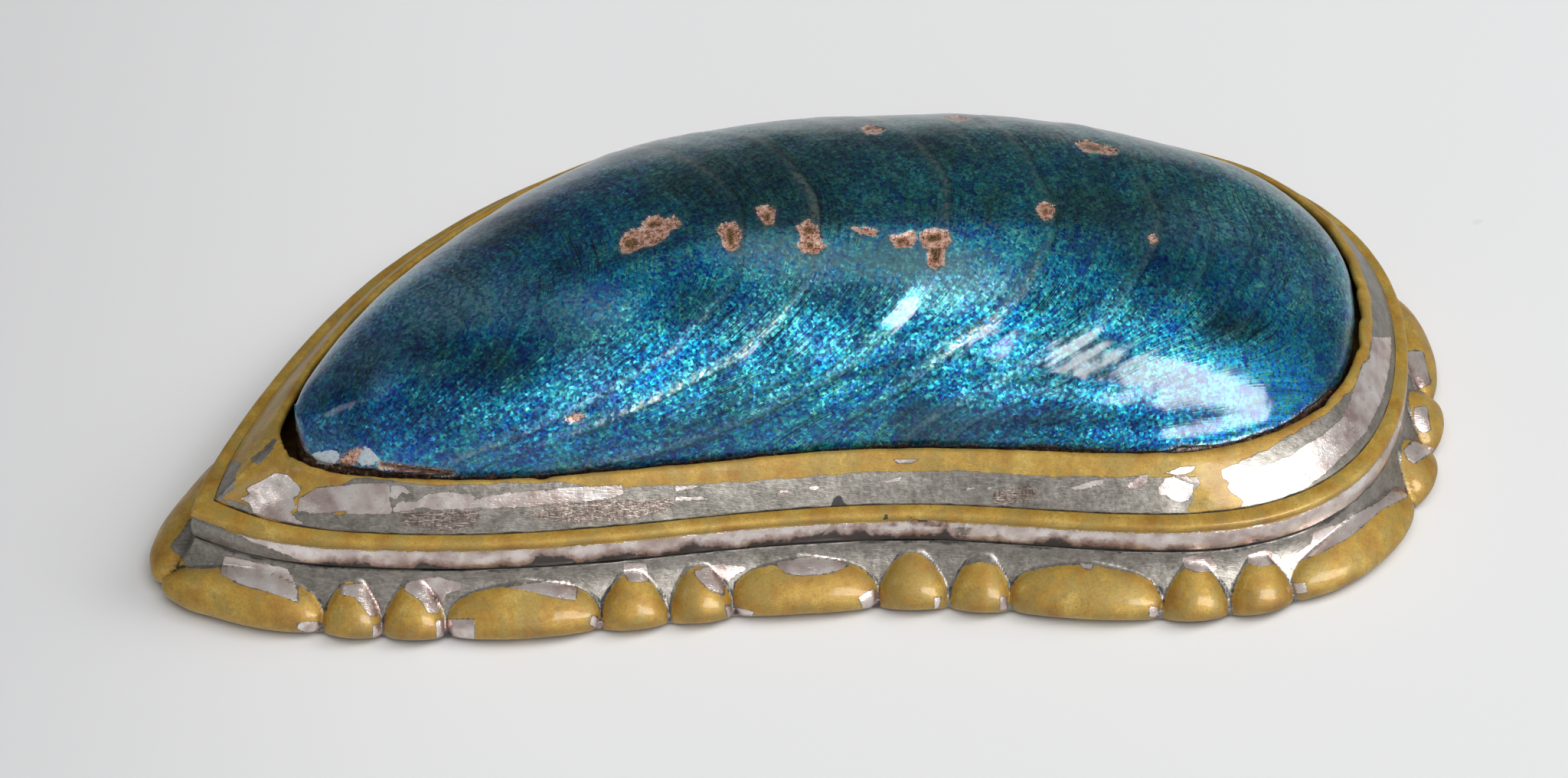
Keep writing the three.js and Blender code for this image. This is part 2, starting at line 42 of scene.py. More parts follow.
# ------------------------------------------------------------------ outline
# Distance along the ledge; x, y of ledge, aperture and outer reach.
STATIONS = np.array([
    (0.00, -38.50, -12.00, -32.82, -9.05, -41.55, -13.35),
    (1.20, -37.44, -12.55, -32.69, -9.35, -39.40, -15.00),
    (2.60, -36.17, -13.15, -32.48, -9.71, -37.32, -15.81),
    (4.20, -34.68, -13.72, -32.14, -10.17, -35.59, -16.47),
    (6.20, -32.75, -14.24, -31.44, -10.82, -33.37, -17.07),
    (8.80, -30.19, -14.66, -29.83, -11.65, -30.54, -17.54),
    (12.40, -26.61, -14.95, -26.47, -12.27, -26.75, -17.85),
    (16.85, -22.15, -15.06, -22.16, -12.53, -22.15, -17.96),
    (21.31, -17.70, -14.92, -17.87, -12.43, -17.52, -17.81),
    (25.76, -13.27, -14.52, -13.54, -12.05, -12.95, -17.40),
    (30.22, -8.85, -13.97, -9.18, -11.53, -8.45, -16.84),
    (34.67, -4.44, -13.33, -4.78, -10.92, -4.03, -16.20),
    (39.12, -0.02, -12.79, -0.28, -10.28, 0.27, -15.67),
    (43.58, 4.42, -12.43, 4.27, -9.80, 4.59, -15.33),
    (48.03, 8.87, -12.31, 8.91, -9.64, 8.83, -15.21),
    (52.49, 13.32, -12.55, 13.55, -9.75, 13.07, -15.44),
    (56.94, 17.75, -12.97, 18.03, -9.97, 17.48, -15.85),
    (61.40, 22.19, -13.32, 22.37, -10.14, 22.03, -16.21),
    (65.85, 26.64, -13.34, 26.44, -9.94, 26.81, -16.24),
    (70.30, 31.02, -12.64, 30.00, -9.07, 31.81, -15.43),
    (74.76, 35.04, -10.81, 32.91, -7.61, 36.65, -13.23),
    (79.21, 38.24, -7.77, 35.27, -5.58, 40.57, -9.49),
    (83.67, 40.28, -3.85, 37.18, -2.74, 43.02, -4.82),
    (88.12, 41.31, 0.47, 38.20, 0.90, 44.18, 0.07),
    (92.57, 41.57, 4.91, 38.47, 4.84, 44.47, 4.97),
    (97.03, 41.05, 9.32, 37.96, 8.61, 43.87, 9.97),
    (101.48, 39.51, 13.47, 36.76, 12.02, 42.08, 14.83),
    (105.94, 36.97, 17.10, 34.72, 14.94, 39.13, 19.04),
    (110.39, 33.68, 19.85, 31.94, 17.33, 35.41, 22.31),
    (114.84, 29.89, 21.78, 28.57, 19.00, 31.19, 24.51),
    (119.30, 25.78, 23.15, 24.80, 20.23, 26.71, 25.94),
    (123.75, 21.49, 24.41, 20.85, 21.47, 22.12, 27.23),
    (128.21, 17.11, 25.26, 16.72, 22.27, 17.48, 28.13),
    (132.66, 12.67, 25.68, 12.50, 22.67, 12.84, 28.58),
    (137.11, 8.22, 25.80, 8.23, 22.81, 8.22, 28.70),
    (141.57, 3.77, 25.65, 3.98, 22.65, 3.58, 28.55),
    (146.02, -0.65, 25.28, -0.18, 22.21, -1.10, 28.17),
    (150.48, -5.01, 24.64, -4.21, 21.53, -5.75, 27.49),
    (154.93, -9.24, 23.60, -8.09, 20.51, -10.28, 26.34),
    (159.39, -13.31, 21.88, -11.81, 18.93, -14.62, 24.47),
    (163.84, -17.17, 19.67, -15.35, 16.84, -18.74, 22.11),
    (168.29, -20.79, 17.08, -18.66, 14.40, -22.59, 19.35),
    (172.75, -24.14, 14.14, -21.74, 11.65, -26.15, 16.23),
    (177.20, -27.19, 10.90, -24.56, 8.68, -29.40, 12.78),
    (181.66, -29.87, 7.35, -27.06, 5.47, -32.27, 8.96),
    (186.11, -32.19, 3.55, -29.29, 1.92, -34.71, 4.97),
    (190.56, -34.25, -0.39, -31.20, -1.88, -36.86, 0.88),
    (194.16, -35.76, -3.66, -32.42, -5.07, -38.60, -2.60),
    (196.76, -36.75, -6.07, -32.93, -6.82, -39.85, -5.15),
    (198.76, -37.45, -7.94, -33.05, -7.77, -40.85, -7.20),
    (200.36, -37.91, -9.47, -33.01, -8.34, -41.50, -9.05),
    (201.76, -38.25, -10.83, -32.92, -8.75, -41.85, -11.05)
])
LENGTH = 202.96
LOBES = [0, 9.1, 13.0, 17.1, 26.8, 31.4, 35.6, 45.2, 50.1, 54.2, 63.9, 68.1, 72.0,
         82.7, 87.3, 91.9, 101.4, 105.9, 110.5, 121.1, 126.0, 130.9, 141.5, 146.4,
         151.3, 161.9, 166.8, 171.7, 182.3, 187.2, 192.1, 202.96]
HX0, HX1 = 8.5 - 7.5, 8.5 + 7.5        # ends of the hinge along x
HY, HZ = 27.3, 4.2                       # hinge axis


def curve(col, corner):
    s = np.r_[STATIONS[:, 0], LENGTH]
    p = np.vstack([STATIONS[:, col:col + 2], STATIONS[:1, col:col + 2]])
    h = np.diff(s)
    sl = (p[1:] - p[:-1]) / h[:, None]
    m = np.zeros_like(p)
    m[1:-1] = (sl[:-1] * h[1:, None] + sl[1:] * h[:-1, None]) / (h[:-1] + h[1:])[:, None]
    if corner:
        m[0], m[-1] = sl[0], sl[-1]
    else:
        m[0] = m[-1] = (sl[-1] * h[0] + sl[0] * h[-1]) / (h[0] + h[-1])

    def f(t):
        t = np.mod(np.asarray(t, float), LENGTH)
        i = np.clip(np.searchsorted(s, t, side="right") - 1, 0, len(h) - 1)
        hh = h[i][..., None]
        u = ((t - s[i]) / h[i])[..., None]
        return ((2 * u ** 3 - 3 * u ** 2 + 1) * p[i] + (u ** 3 - 2 * u ** 2 + u) * hh * m[i]
                + (-2 * u ** 3 + 3 * u ** 2) * p[i + 1] + (u ** 3 - u ** 2) * hh * m[i + 1])
    return f


ledge, aperture, reach = curve(1, True), curve(3, False), curve(5, False)


def plan(t, p):
    """x, y at distance t round the outline and profile position p."""
    t, p = np.broadcast_arrays(np.asarray(t, float), np.asarray(p, float))
    a, b, c = ledge(t), aperture(t), reach(t)
    q = p[..., None]
    out = a + (c - a) * q / 2.9
    mid = a + (b - a) * (-q / 3.0)
    d = aperture(t + 0.4) - aperture(t - 0.4)
    d /= np.linalg.norm(d, axis=-1, keepdims=True)
    inward = b + np.stack([-d[..., 1], d[..., 0]], -1) * (-q - 3.0)
    return np.where(q >= 0, out, np.where(q >= -3.0, mid, inward))


# ------------------------------------------------------------------ helpers
def hash01(ix, iy, iz, seed):
    h = (ix.astype(np.int64) * 374761393 + iy.astype(np.int64) * 668265263
         + iz.astype(np.int64) * 2147483647 + seed * 1274126177) & 0xFFFFFFFF
    h = ((h ^ (h >> 13)) * 1103515245) & 0xFFFFFFFF
    h = ((h ^ (h >> 15)) * 2246822519) & 0xFFFFFFFF
    return ((h ^ (h >> 16)) & 0xFFFFFF) / float(0xFFFFFF)


def noise3(x, y, z, seed):
    """Smooth value noise from -1 to 1."""
    x, y, z = np.broadcast_arrays(np.asarray(x, float), np.asarray(y, float), np.asarray(z, float))
    ix, iy, iz = np.floor(x), np.floor(y), np.floor(z)
    fx, fy, fz = x - ix, y - iy, z - iz
    fx, fy, fz = [f * f * f * (f * (f * 6 - 15) + 10) for f in (fx, fy, fz)]
    v = 0
    for dx in (0, 1):
        for dy in (0, 1):
            for dz in (0, 1):
                w = (fx if dx else 1 - fx) * (fy if dy else 1 - fy) * (fz if dz else 1 - fz)
                v = v + w * hash01(ix + dx, iy + dy, iz + dz, seed)
    return v * 2 - 1


def fbm(x, y, z, seed, octaves=3):
    v, a = 0, 1.0
    for k in range(octaves):
        v = v + a * noise3(x * 2 ** k, y * 2 ** k, z * 2 ** k, seed + 17 * k)
        a *= 0.5
    return v / 1.75


def ringnoise(t, q, scale, seed, octaves=3):
    """Noise on the ring: t runs round it, q across it, scale in mm."""
    a = np.asarray(t) / LENGTH * 2 * math.pi
    r = LENGTH / (2 * math.pi) / scale
    return fbm(r * np.cos(a) + 50, r * np.sin(a) + 50, np.asarray(q) / scale + 50, seed, octaves)


def smooth(e0, e1, x):
    t = np.clip((x - e0) / (e1 - e0), 0, 1)
    return t * t * (3 - 2 * t)


def chaikin(pts, rounds=2):
    pts = np.asarray(pts, float)
    for _ in range(rounds):
        a, b = pts[:-1], pts[1:]
        pts = np.vstack([pts[:1], np.stack([0.75 * a + 0.25 * b, 0.25 * a + 0.75 * b], 1).reshape(-1, 2), pts[-1:]])
    return pts


def resample(pts, n):
    pts = np.asarray(pts, float)
    d = np.r_[0, np.cumsum(np.linalg.norm(np.diff(pts, axis=0), axis=1))]
    u = np.linspace(0, d[-1], n)
    return np.stack([np.interp(u, d, pts[:, k]) for k in range(pts.shape[1])], 1)


def pchip(xs, ys):
    xs, ys = np.asarray(xs, float), np.asarray(ys, float)
    h, d = np.diff(xs), np.diff(ys) / np.diff(xs)
    m = np.zeros_like(ys)
    for i in range(1, len(xs) - 1):
        if d[i - 1] * d[i] > 0:
            w1, w2 = 2 * h[i] + h[i - 1], h[i] + 2 * h[i - 1]
            m[i] = (w1 + w2) / (w1 / d[i - 1] + w2 / d[i])
    m[0], m[-1] = d[0], d[-1]

    def f(x):
        x = np.clip(x, xs[0], xs[-1])
        i = np.clip(np.searchsorted(xs, x, side="right") - 1, 0, len(h) - 1)
        u = (x - xs[i]) / h[i]
        return ((2 * u ** 3 - 3 * u ** 2 + 1) * ys[i] + (u ** 3 - 2 * u ** 2 + u) * h[i] * m[i]
                + (-2 * u ** 3 + 3 * u ** 2) * ys[i + 1] + (u ** 3 - u ** 2) * h[i] * m[i + 1])
    return f


def make_mesh(name, verts, faces, attrs, material, body, nodes):
    """faces is a list of index arrays, each (n, 3) or (n, 4), outward."""
    me = bpy.data.meshes.new(name)
    verts = (np.asarray(verts, float) + OFF) * 0.001
    me.vertices.add(len(verts))
    me.vertices.foreach_set("co", verts.astype(np.float32).ravel())
    loops = np.concatenate([f.ravel() for f in faces]).astype(np.int32)
    sizes = np.concatenate([np.full(len(f), f.shape[1], np.int32) for f in faces])
    me.loops.add(len(loops))
    me.loops.foreach_set("vertex_index", loops)
    me.polygons.add(len(sizes))
    me.polygons.foreach_set("loop_start", np.r_[0, np.cumsum(sizes)[:-1]].astype(np.int32))
    me.polygons.foreach_set("loop_total", sizes)
    me.polygons.foreach_set("use_smooth", np.ones(len(sizes), bool))
    me.update(calc_edges=True)
    me.validate()
    for key, value in attrs.items():
        at = me.attributes.new(key, "FLOAT", "POINT")
        at.data.foreach_set("value", np.asarray(value, np.float32).ravel())
    ob = bpy.data.objects.new(name, me)
    bpy.context.scene.collection.objects.link(ob)
    if material:
        me.materials.append(material)
    if body:
        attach(ob, body)
        if nodes:
            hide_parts(*nodes)
    return ob


def grid_faces(n, k, wrap_k=True):
    i, j = np.meshgrid(np.arange(n), np.arange(k if wrap_k else k - 1), indexing="ij")
    i2, j2 = (i + 1) % n, (j + 1) % k
    return np.stack([i * k + j, i2 * k + j, i2 * k + j2, i * k + j2], -1).reshape(-1, 4)


def grid_normals(X):
    """Normals of a closed ring grid (n, k, 3), pointing out of the solid."""
    dt = np.roll(X, -1, 0) - np.roll(X, 1, 0)
    dp = np.roll(X, -1, 1) - np.roll(X, 1, 1)
    n = np.cross(dt, dp)
    n /= np.maximum(np.linalg.norm(n, axis=-1, keepdims=True), 1e-9)
    return n if outward(X) > 0 else -n


def outward(X):
    q = grid_faces(X.shape[0], X.shape[1])
    V = X.reshape(-1, 3)
    a, b, c, d = V[q[:, 0]], V[q[:, 1]], V[q[:, 2]], V[q[:, 3]]
    return np.einsum("ij,ij->", a, np.cross(b, c)) + np.einsum("ij,ij->", a, np.cross(c, d))


def ring(name, X, attrs, material, body, nodes):
    faces = grid_faces(X.shape[0], X.shape[1])
    if outward(X) < 0:
        faces = faces[:, ::-1]
    return make_mesh(name, X.reshape(-1, 3), [faces], {k: np.broadcast_to(v, X.shape[:2]) for k, v in attrs.items()},
                     material, body, nodes)


def lift(T, P, Z):
    """Ring grid from stops T (n,) and profiles P, Z (k,) or (n, k)."""
    P = np.broadcast_to(P, (len(T), np.shape(P)[-1]))
    Z = np.broadcast_to(Z, P.shape)
    xy = plan(T[:, None], P)
    return np.concatenate([xy, Z[..., None]], -1)


# ------------------------------------------------------------------ the view
# The fixed camera, also used to place the worn patches where they are seen.
EL = math.radians(44.0)
FOCUS, DIST, FPX = np.array([0.0, 0.0, 6.0]), 420.0, 8253.0


def seen(X):
    """Where plan-frame points fall in the 2048 x 1016 picture."""
    fw = np.array([0, math.cos(EL), -math.sin(EL)])
    up = np.array([0, math.sin(EL), math.cos(EL)])
    d = np.asarray(X, float) - (FOCUS - fw * DIST)
    z = d @ fw
    return np.stack([1024 + FPX * d[..., 0] / z, 508 - FPX * (d @ up) / z], -1)


def inside_distance(pts, poly):
    """Distance to the outline in mm, positive inside it."""
    poly = np.asarray(poly, float)
    best = np.full(len(pts), 1e9)
    odd = np.zeros(len(pts), bool)
    for a, b in zip(poly, np.roll(poly, -1, 0)):
        e = b - a
        w = pts - a
        u = np.clip((w @ e) / (e @ e), 0, 1)
        best = np.minimum(best, np.hypot(w[:, 0] - u * e[0], w[:, 1] - u * e[1]))
        if a[1] != b[1]:
            odd ^= ((a[1] > pts[:, 1]) != (b[1] > pts[:, 1])) & (
                pts[:, 0] < (b[0] - a[0]) * (pts[:, 1] - a[1]) / (b[1] - a[1]) + a[0])
    return np.where(odd, best, -best) / 19.65


PATCHES = [
    ("foil", [(320, 638), (337, 630), (360, 617), (376, 620), (393, 637), (390, 647), (382, 651), (388, 663), (378, 670), (393, 678), (399, 685), (376, 686), (354, 683), (337, 680), (329, 672), (326, 658), (312, 652), (326, 645)]),
    ("tin", [(296, 600), (315, 605), (308, 621), (306, 637), (292, 648), (289, 654), (268, 654), (273, 641), (281, 619)]),
    ("tin", [(327, 600), (341, 588), (360, 571), (362, 576), (348, 599), (337, 607)]),
    ("tin", [(287, 653), (301, 653), (326, 661), (333, 670), (320, 669), (303, 660)]),
    ("foil", [(390, 651), (402, 644), (413, 637), (441, 634), (477, 631), (503, 630), (510, 637), (508, 652), (513, 666), (511, 672), (489, 673), (463, 672), (441, 670), (404, 670), (388, 668)]),
    ("tin", [(376, 668), (399, 672), (461, 671), (525, 673), (620, 680), (620, 693), (531, 694), (433, 693), (399, 686)]),
    ("brass", [(431, 672), (441, 668), (454, 668), (449, 672), (438, 673)]),
    ("foil", [(511, 634), (528, 635), (540, 647), (525, 644), (517, 653), (509, 647)]),
    ("foil", [(511, 663), (525, 654), (542, 656), (556, 647), (584, 642), (620, 646), (620, 665), (573, 665), (545, 664), (522, 669), (514, 670)]),
    ("foil", [(560, 645), (579, 646), (611, 654), (652, 645), (739, 637), (812, 633), (815, 645), (796, 651), (783, 656), (739, 656), (713, 660), (668, 664), (624, 663), (601, 667), (579, 670), (560, 665)]),
    ("worn", [(522, 668), (620, 665), (620, 689), (567, 690), (525, 686)]),
    ("worn", [(560, 681), (601, 672), (630, 665), (627, 678), (605, 688), (592, 696), (560, 691)]),
    ("worn", [(694, 670), (739, 657), (790, 652), (847, 652), (879, 649), (882, 659), (866, 670), (834, 676), (796, 681), (751, 684), (697, 676)]),
    ("foil", [(880, 635), (911, 634), (908, 638), (882, 642)]),
    ("foil", [(882, 648), (927, 649), (924, 653), (882, 655)]),
    ("foil", [(1166, 600), (1202, 599), (1191, 605), (1172, 605)]),
    ("foil", [(1156, 629), (1179, 622), (1173, 628), (1159, 631)]),
    ("foil", [(1015, 640), (1033, 640), (1029, 644), (1018, 644)]),
    ("foil", [(1055, 635), (1071, 634), (1069, 640), (1057, 640)]),
    ("foil", [(1260, 637), (1274, 636), (1273, 639), (1261, 640)]),
    ("foil", [(1284, 637), (1300, 634), (1293, 640), (1285, 640)]),
    ("foil", [(1395, 637), (1430, 627), (1443, 625), (1440, 632), (1418, 639), (1399, 640)]),
    ("foil", [(1472, 633), (1488, 621), (1500, 618), (1500, 629), (1488, 637), (1475, 639)]),
    ("worn", [(1297, 644), (1319, 637), (1344, 632), (1354, 643), (1344, 654), (1325, 657), (1306, 662), (1295, 656)]),
    ("dirt_and_shade", [(1084, 663), (1091, 650), (1097, 648), (1102, 657), (1110, 662), (1098, 664)]),
    ("foil", [(1480, 636), (1498, 624), (1493, 635), (1484, 638)]),
    ("foil", [(1512, 636), (1523, 624), (1532, 622), (1547, 624), (1560, 631), (1558, 642), (1553, 654), (1541, 656), (1529, 651), (1513, 644)]),
    ("worn", [(1532, 622), (1544, 620), (1562, 624), (1566, 631), (1556, 631), (1544, 627)]),
    ("foil", [(1521, 618), (1541, 610), (1563, 608), (1556, 617), (1541, 621)]),
    ("brass", [(1562, 611), (1584, 608), (1595, 607), (1595, 621), (1605, 631), (1605, 642), (1624, 654), (1621, 662), (1605, 667), (1584, 670), (1556, 670), (1549, 666), (1559, 654), (1559, 642), (1569, 630), (1562, 621)]),
    ("foil", [(1596, 614), (1611, 607), (1630, 607), (1642, 612), (1667, 602), (1685, 596), (1700, 584), (1725, 570), (1752, 547), (1764, 520), (1780, 474), (1789, 469), (1792, 440), (1818, 440), (1816, 477), (1806, 520), (1786, 562), (1758, 593), (1728, 621), (1703, 639), (1685, 647), (1654, 656), (1630, 661), (1624, 654), (1608, 642), (1602, 636), (1607, 630), (1596, 624)]),
    ("tin", [(1804, 529), (1812, 529), (1798, 556), (1780, 584), (1764, 599), (1758, 596), (1777, 575), (1792, 553)]),
    ("tin", [(256, 674), (292, 690), (326, 706), (360, 720), (393, 732), (376, 742), (315, 728), (299, 725), (292, 742), (245, 743), (233, 728), (222, 714), (247, 680)]),
    ("foil", [(294, 726), (306, 728), (376, 742), (381, 753), (389, 770), (390, 788), (376, 782), (348, 773), (315, 764), (288, 750), (289, 736)]),
    ("foil", [(389, 811), (416, 812), (419, 825), (399, 827), (388, 821)]),
    ("foil", [(444, 764), (477, 761), (486, 773), (492, 784), (498, 793), (496, 805), (483, 805), (475, 794), (463, 780), (444, 776)]),
    ("foil", [(487, 816), (500, 814), (500, 835), (486, 837)]),
    ("foil", [(531, 759), (573, 753), (601, 762), (601, 771), (584, 776), (578, 788), (573, 802), (559, 800), (550, 785), (528, 771)]),
    ("foil", [(569, 809), (620, 808), (620, 836), (601, 836), (570, 835)]),
    ("foil", [(659, 767), (713, 758), (742, 758), (755, 767), (752, 784), (726, 781), (694, 773)]),
    ("foil", [(773, 802), (790, 812), (785, 824), (770, 816)]),
    ("foil", [(570, 809), (595, 810), (605, 819), (616, 836), (579, 836), (570, 828)]),
    ("foil", [(814, 735), (844, 735), (848, 760), (821, 760), (815, 748)]),
    ("foil", [(906, 745), (943, 736), (975, 742), (959, 752), (946, 765), (946, 778), (927, 771), (910, 755)]),
    ("foil", [(946, 789), (962, 793), (985, 799), (981, 809), (951, 810)]),
    ("foil", [(1008, 735), (1060, 728), (1060, 749), (1028, 749)]),
    ("foil", [(1009, 735), (1067, 725), (1096, 729), (1109, 739), (1084, 749), (1048, 752), (1026, 749)]),
    ("foil", [(1121, 780), (1140, 769), (1149, 777), (1147, 793), (1128, 798)]),
    ("foil", [(1220, 780), (1230, 780), (1226, 794), (1220, 796)]),
    ("foil", [(1306, 777), (1316, 780), (1316, 796), (1306, 798)]),
    ("tin", [(1255, 723), (1300, 720), (1304, 739), (1284, 734), (1259, 739)]),
    ("tin", [(1324, 723), (1344, 723), (1383, 735), (1351, 746), (1332, 739)]),
    ("foil", [(1407, 734), (1429, 737), (1425, 744), (1414, 742)]),
    ("foil", [(1500, 792), (1513, 792), (1515, 806), (1501, 806)]),
    ("foil", [(1544, 728), (1562, 724), (1581, 729), (1592, 742), (1584, 747), (1562, 747), (1546, 741)]),
    ("foil", [(1630, 725), (1654, 716), (1673, 728), (1667, 736), (1648, 741), (1630, 736)]),
    ("foil", [(1689, 761), (1706, 760), (1708, 774), (1693, 776)]),
    ("foil", [(1716, 694), (1746, 685), (1807, 651), (1820, 636), (1835, 636), (1839, 649), (1807, 664), (1764, 701), (1725, 722), (1694, 734), (1690, 725), (1712, 709)]),
    ("foil", [(1833, 587), (1847, 574), (1875, 586), (1869, 592), (1847, 606), (1837, 599)]),
    ("foil", [(1847, 532), (1864, 529), (1869, 562), (1856, 566), (1847, 553)]),
    ("foil", [(1838, 458), (1859, 458), (1869, 501), (1850, 510), (1838, 486)]),
    ("brass", [(216, 762), (233, 722), (239, 734), (247, 742), (273, 746), (289, 750), (315, 765), (348, 774), (376, 783), (390, 791), (404, 798), (404, 811), (388, 814), (348, 825), (306, 823), (264, 809), (233, 790)]),
]


def patch_fields(X, base, facing, reach_mm=3.0):
    """Layer fields in mm, positive where a layer lies on top, changed by the
    drawn patches where the surface faces the viewer."""
    shape = X.shape[:2]
    px = seen(X).reshape(-1, 2)
    out = {k: np.array(np.broadcast_to(v, shape), float).ravel() for k, v in base.items()}
    ok = facing.ravel()
    for kind, poly in PATCHES:
        q = np.asarray(poly, float)
        lo, hi = q.min(0) - reach_mm * 19.65, q.max(0) + reach_mm * 19.65
        near = ok & (px[:, 0] > lo[0]) & (px[:, 0] < hi[0]) & (px[:, 1] > lo[1]) & (px[:, 1] < hi[1])
        idx = np.where(near)[0]
        if not len(idx):
            continue
        d = inside_distance(px[idx], q)
        for k in out:
            if k == kind:
                out[k][idx] = np.maximum(out[k][idx], d)
            elif k != "dirt_and_shade" and kind != "dirt_and_shade":
                out[k][idx] = np.minimum(out[k][idx], -d)
    return {k: v.reshape(shape) for k, v in out.items() if k != "tin"}

# ---------------------------------------------------------------- materials
class Tree:
    """Small helper to write node trees line by line."""

    def __init__(self, name):
        self.mat = bpy.data.materials.new(name)
        self.mat.use_nodes = True
        self.nt = self.mat.node_tree
        self.nt.nodes.clear()
        self.out = self.nt.nodes.new("ShaderNodeOutputMaterial")
        co = self.nt.nodes.new("ShaderNodeTexCoord")
        self.mm = self.mapped(co.outputs["Object"], (1000, 1000, 1000))

    def put(self, socket, value):
        if value is None:
            return
        if isinstance(value, bpy.types.NodeSocket):
            self.nt.links.new(value, socket)
        else:
            socket.default_value = value

    def mapped(self, vec, scale, rot=(0, 0, 0), loc=(0, 0, 0)):
        n = self.nt.nodes.new("ShaderNodeMapping")
        self.put(n.inputs["Vector"], vec)
        n.inputs["Scale"].default_value = scale
        n.inputs["Rotation"].default_value = rot
        n.inputs["Location"].default_value = loc
        return n.outputs["Vector"]

    def attr(self, name):
        n = self.nt.nodes.new("ShaderNodeAttribute")
        n.attribute_name = name
        return n.outputs["Fac"]

    def m(self, op, a, b=None, c=None, clamp=False):
        n = self.nt.nodes.new("ShaderNodeMath")
        n.operation = op
        n.use_clamp = clamp
        for i, v in enumerate((a, b, c)):
            if v is not None:
                self.put(n.inputs[i], v)
        return n.outputs[0]

    def add(self, a, b):
        return self.m("ADD", a, b)

    def mul(self, a, b):
        return self.m("MULTIPLY", a, b)

    def sub(self, a, b):
        return self.m("SUBTRACT", a, b)

    def step(self, v, lo, hi, a=0.0, b=1.0):
        n = self.nt.nodes.new("ShaderNodeMapRange")
        n.interpolation_type = "SMOOTHSTEP"
        for key, x in (("Value", v), ("From Min", lo), ("From Max", hi), ("To Min", a), ("To Max", b)):
            self.put(n.inputs[key], x)
        return n.outputs["Result"]

    def noise(self, scale, detail=3.0, rough=0.55, vec=None, warp=0.0):
        n = self.nt.nodes.new("ShaderNodeTexNoise")
        self.put(n.inputs["Vector"], vec or self.mm)
        n.inputs["Scale"].default_value = scale
        n.inputs["Detail"].default_value = detail
        n.inputs["Roughness"].default_value = rough
        n.inputs["Distortion"].default_value = warp
        return n.outputs["Fac"]

    def voronoi(self, scale, vec=None, feature="F1", rand=1.0):
        n = self.nt.nodes.new("ShaderNodeTexVoronoi")
        n.feature = feature
        self.put(n.inputs["Vector"], vec or self.mm)
        n.inputs["Scale"].default_value = scale
        n.inputs["Randomness"].default_value = rand
        return n

    def mix(self, fac, a, b, mode="MIX"):
        n = self.nt.nodes.new("ShaderNodeMix")
        n.data_type = "RGBA"
        n.blend_type = mode
        self.put(n.inputs[0], fac)
        self.put(n.inputs[6], a if isinstance(a, bpy.types.NodeSocket) else (*a, 1.0))
        self.put(n.inputs[7], b if isinstance(b, bpy.types.NodeSocket) else (*b, 1.0))
        return n.outputs[2]

    def mixf(self, fac, a, b):
        n = self.nt.nodes.new("ShaderNodeMix")
        n.data_type = "FLOAT"
        self.put(n.inputs[0], fac)
        self.put(n.inputs[2], a)
        self.put(n.inputs[3], b)
        return n.outputs[0]

    def ramp(self, fac, stops, mode="LINEAR"):
        n = self.nt.nodes.new("ShaderNodeValToRGB")
        n.color_ramp.interpolation = mode
        el = n.color_ramp.elements
        while len(el) < len(stops):
            el.new(0.5)
        for e, (pos, col) in zip(el, stops):
            e.position = pos
            e.color = (*col, 1.0)
        self.put(n.inputs["Fac"], fac)
        return n.outputs["Color"]

    def bump(self, height, metres=0.001, strength=1.0, normal=None):
        n = self.nt.nodes.new("ShaderNodeBump")
        n.inputs["Distance"].default_value = metres
        n.inputs["Strength"].default_value = strength
        self.put(n.inputs["Height"], height)
        if normal is not None:
            self.put(n.inputs["Normal"], normal)
        return n.outputs["Normal"]

    def finish(self, color, rough, metal, normal=None, **constants):
        b = self.nt.nodes.new("ShaderNodeBsdfPrincipled")
        self.put(b.inputs["Base Color"], color)
        self.put(b.inputs["Roughness"], rough)
        self.put(b.inputs["Metallic"], metal)
        if normal is not None:
            self.put(b.inputs["Normal"], normal)
        for key, v in constants.items():
            b.inputs[key.replace("_", " ")].default_value = v
        self.nt.links.new(b.outputs[0], self.out.inputs["Surface"])
        self.bsdf = b
        return self.mat


def scratches(t, scale, angle, width=0.045):
    """Fine straight scratches, 1 on a scratch."""
    v = t.mapped(t.mm, (scale * 0.06, scale, scale * 0.5), rot=(0.3, 0.2, angle))
    n = t.noise(1.0, 1.0, 0.4, vec=v)
    return t.step(t.m("ABSOLUTE", t.sub(n, 0.5)), 0.0, width, 1.0, 0.0)


def brass_tone(t):
    tone = t.add(t.mul(t.noise(0.45, 3.0, 0.55), 0.8), t.mul(t.noise(2.4, 3.0, 0.6), 0.2))
    c = t.ramp(tone, [(0.34, BRASS_DARK), (0.46, BRASS_MID), (0.56, BRASS), (0.68, BRASS_LIGHT)])
    olive = t.step(t.noise(0.62, 3.0, 0.5, warp=0.3), 0.50, 0.56)
    c = t.mix(t.mul(olive, 0.6), c, (0.38, 0.275, 0.064))
    film = t.step(t.noise(1.7, 5.0, 0.65), 0.55, 0.72)
    c = t.mix(t.mul(film, 0.5), c, (0.27, 0.15, 0.035))
    c = t.mix(t.mul(t.step(t.noise(7.0, 4.0, 0.8), 0.42, 0.66), 0.45), c, (0.24, 0.135, 0.035))
    spots = t.step(t.noise(5.0, 4.0, 0.75), 0.57, 0.70)
    return t.mix(t.mul(spots, 0.55), c, (0.17, 0.085, 0.025))


BRASS_DARK, BRASS_MID, BRASS, BRASS_LIGHT = (0.36, 0.177, 0.021), (0.465, 0.262, 0.033), (0.535, 0.333, 0.051), (0.62, 0.44, 0.11)


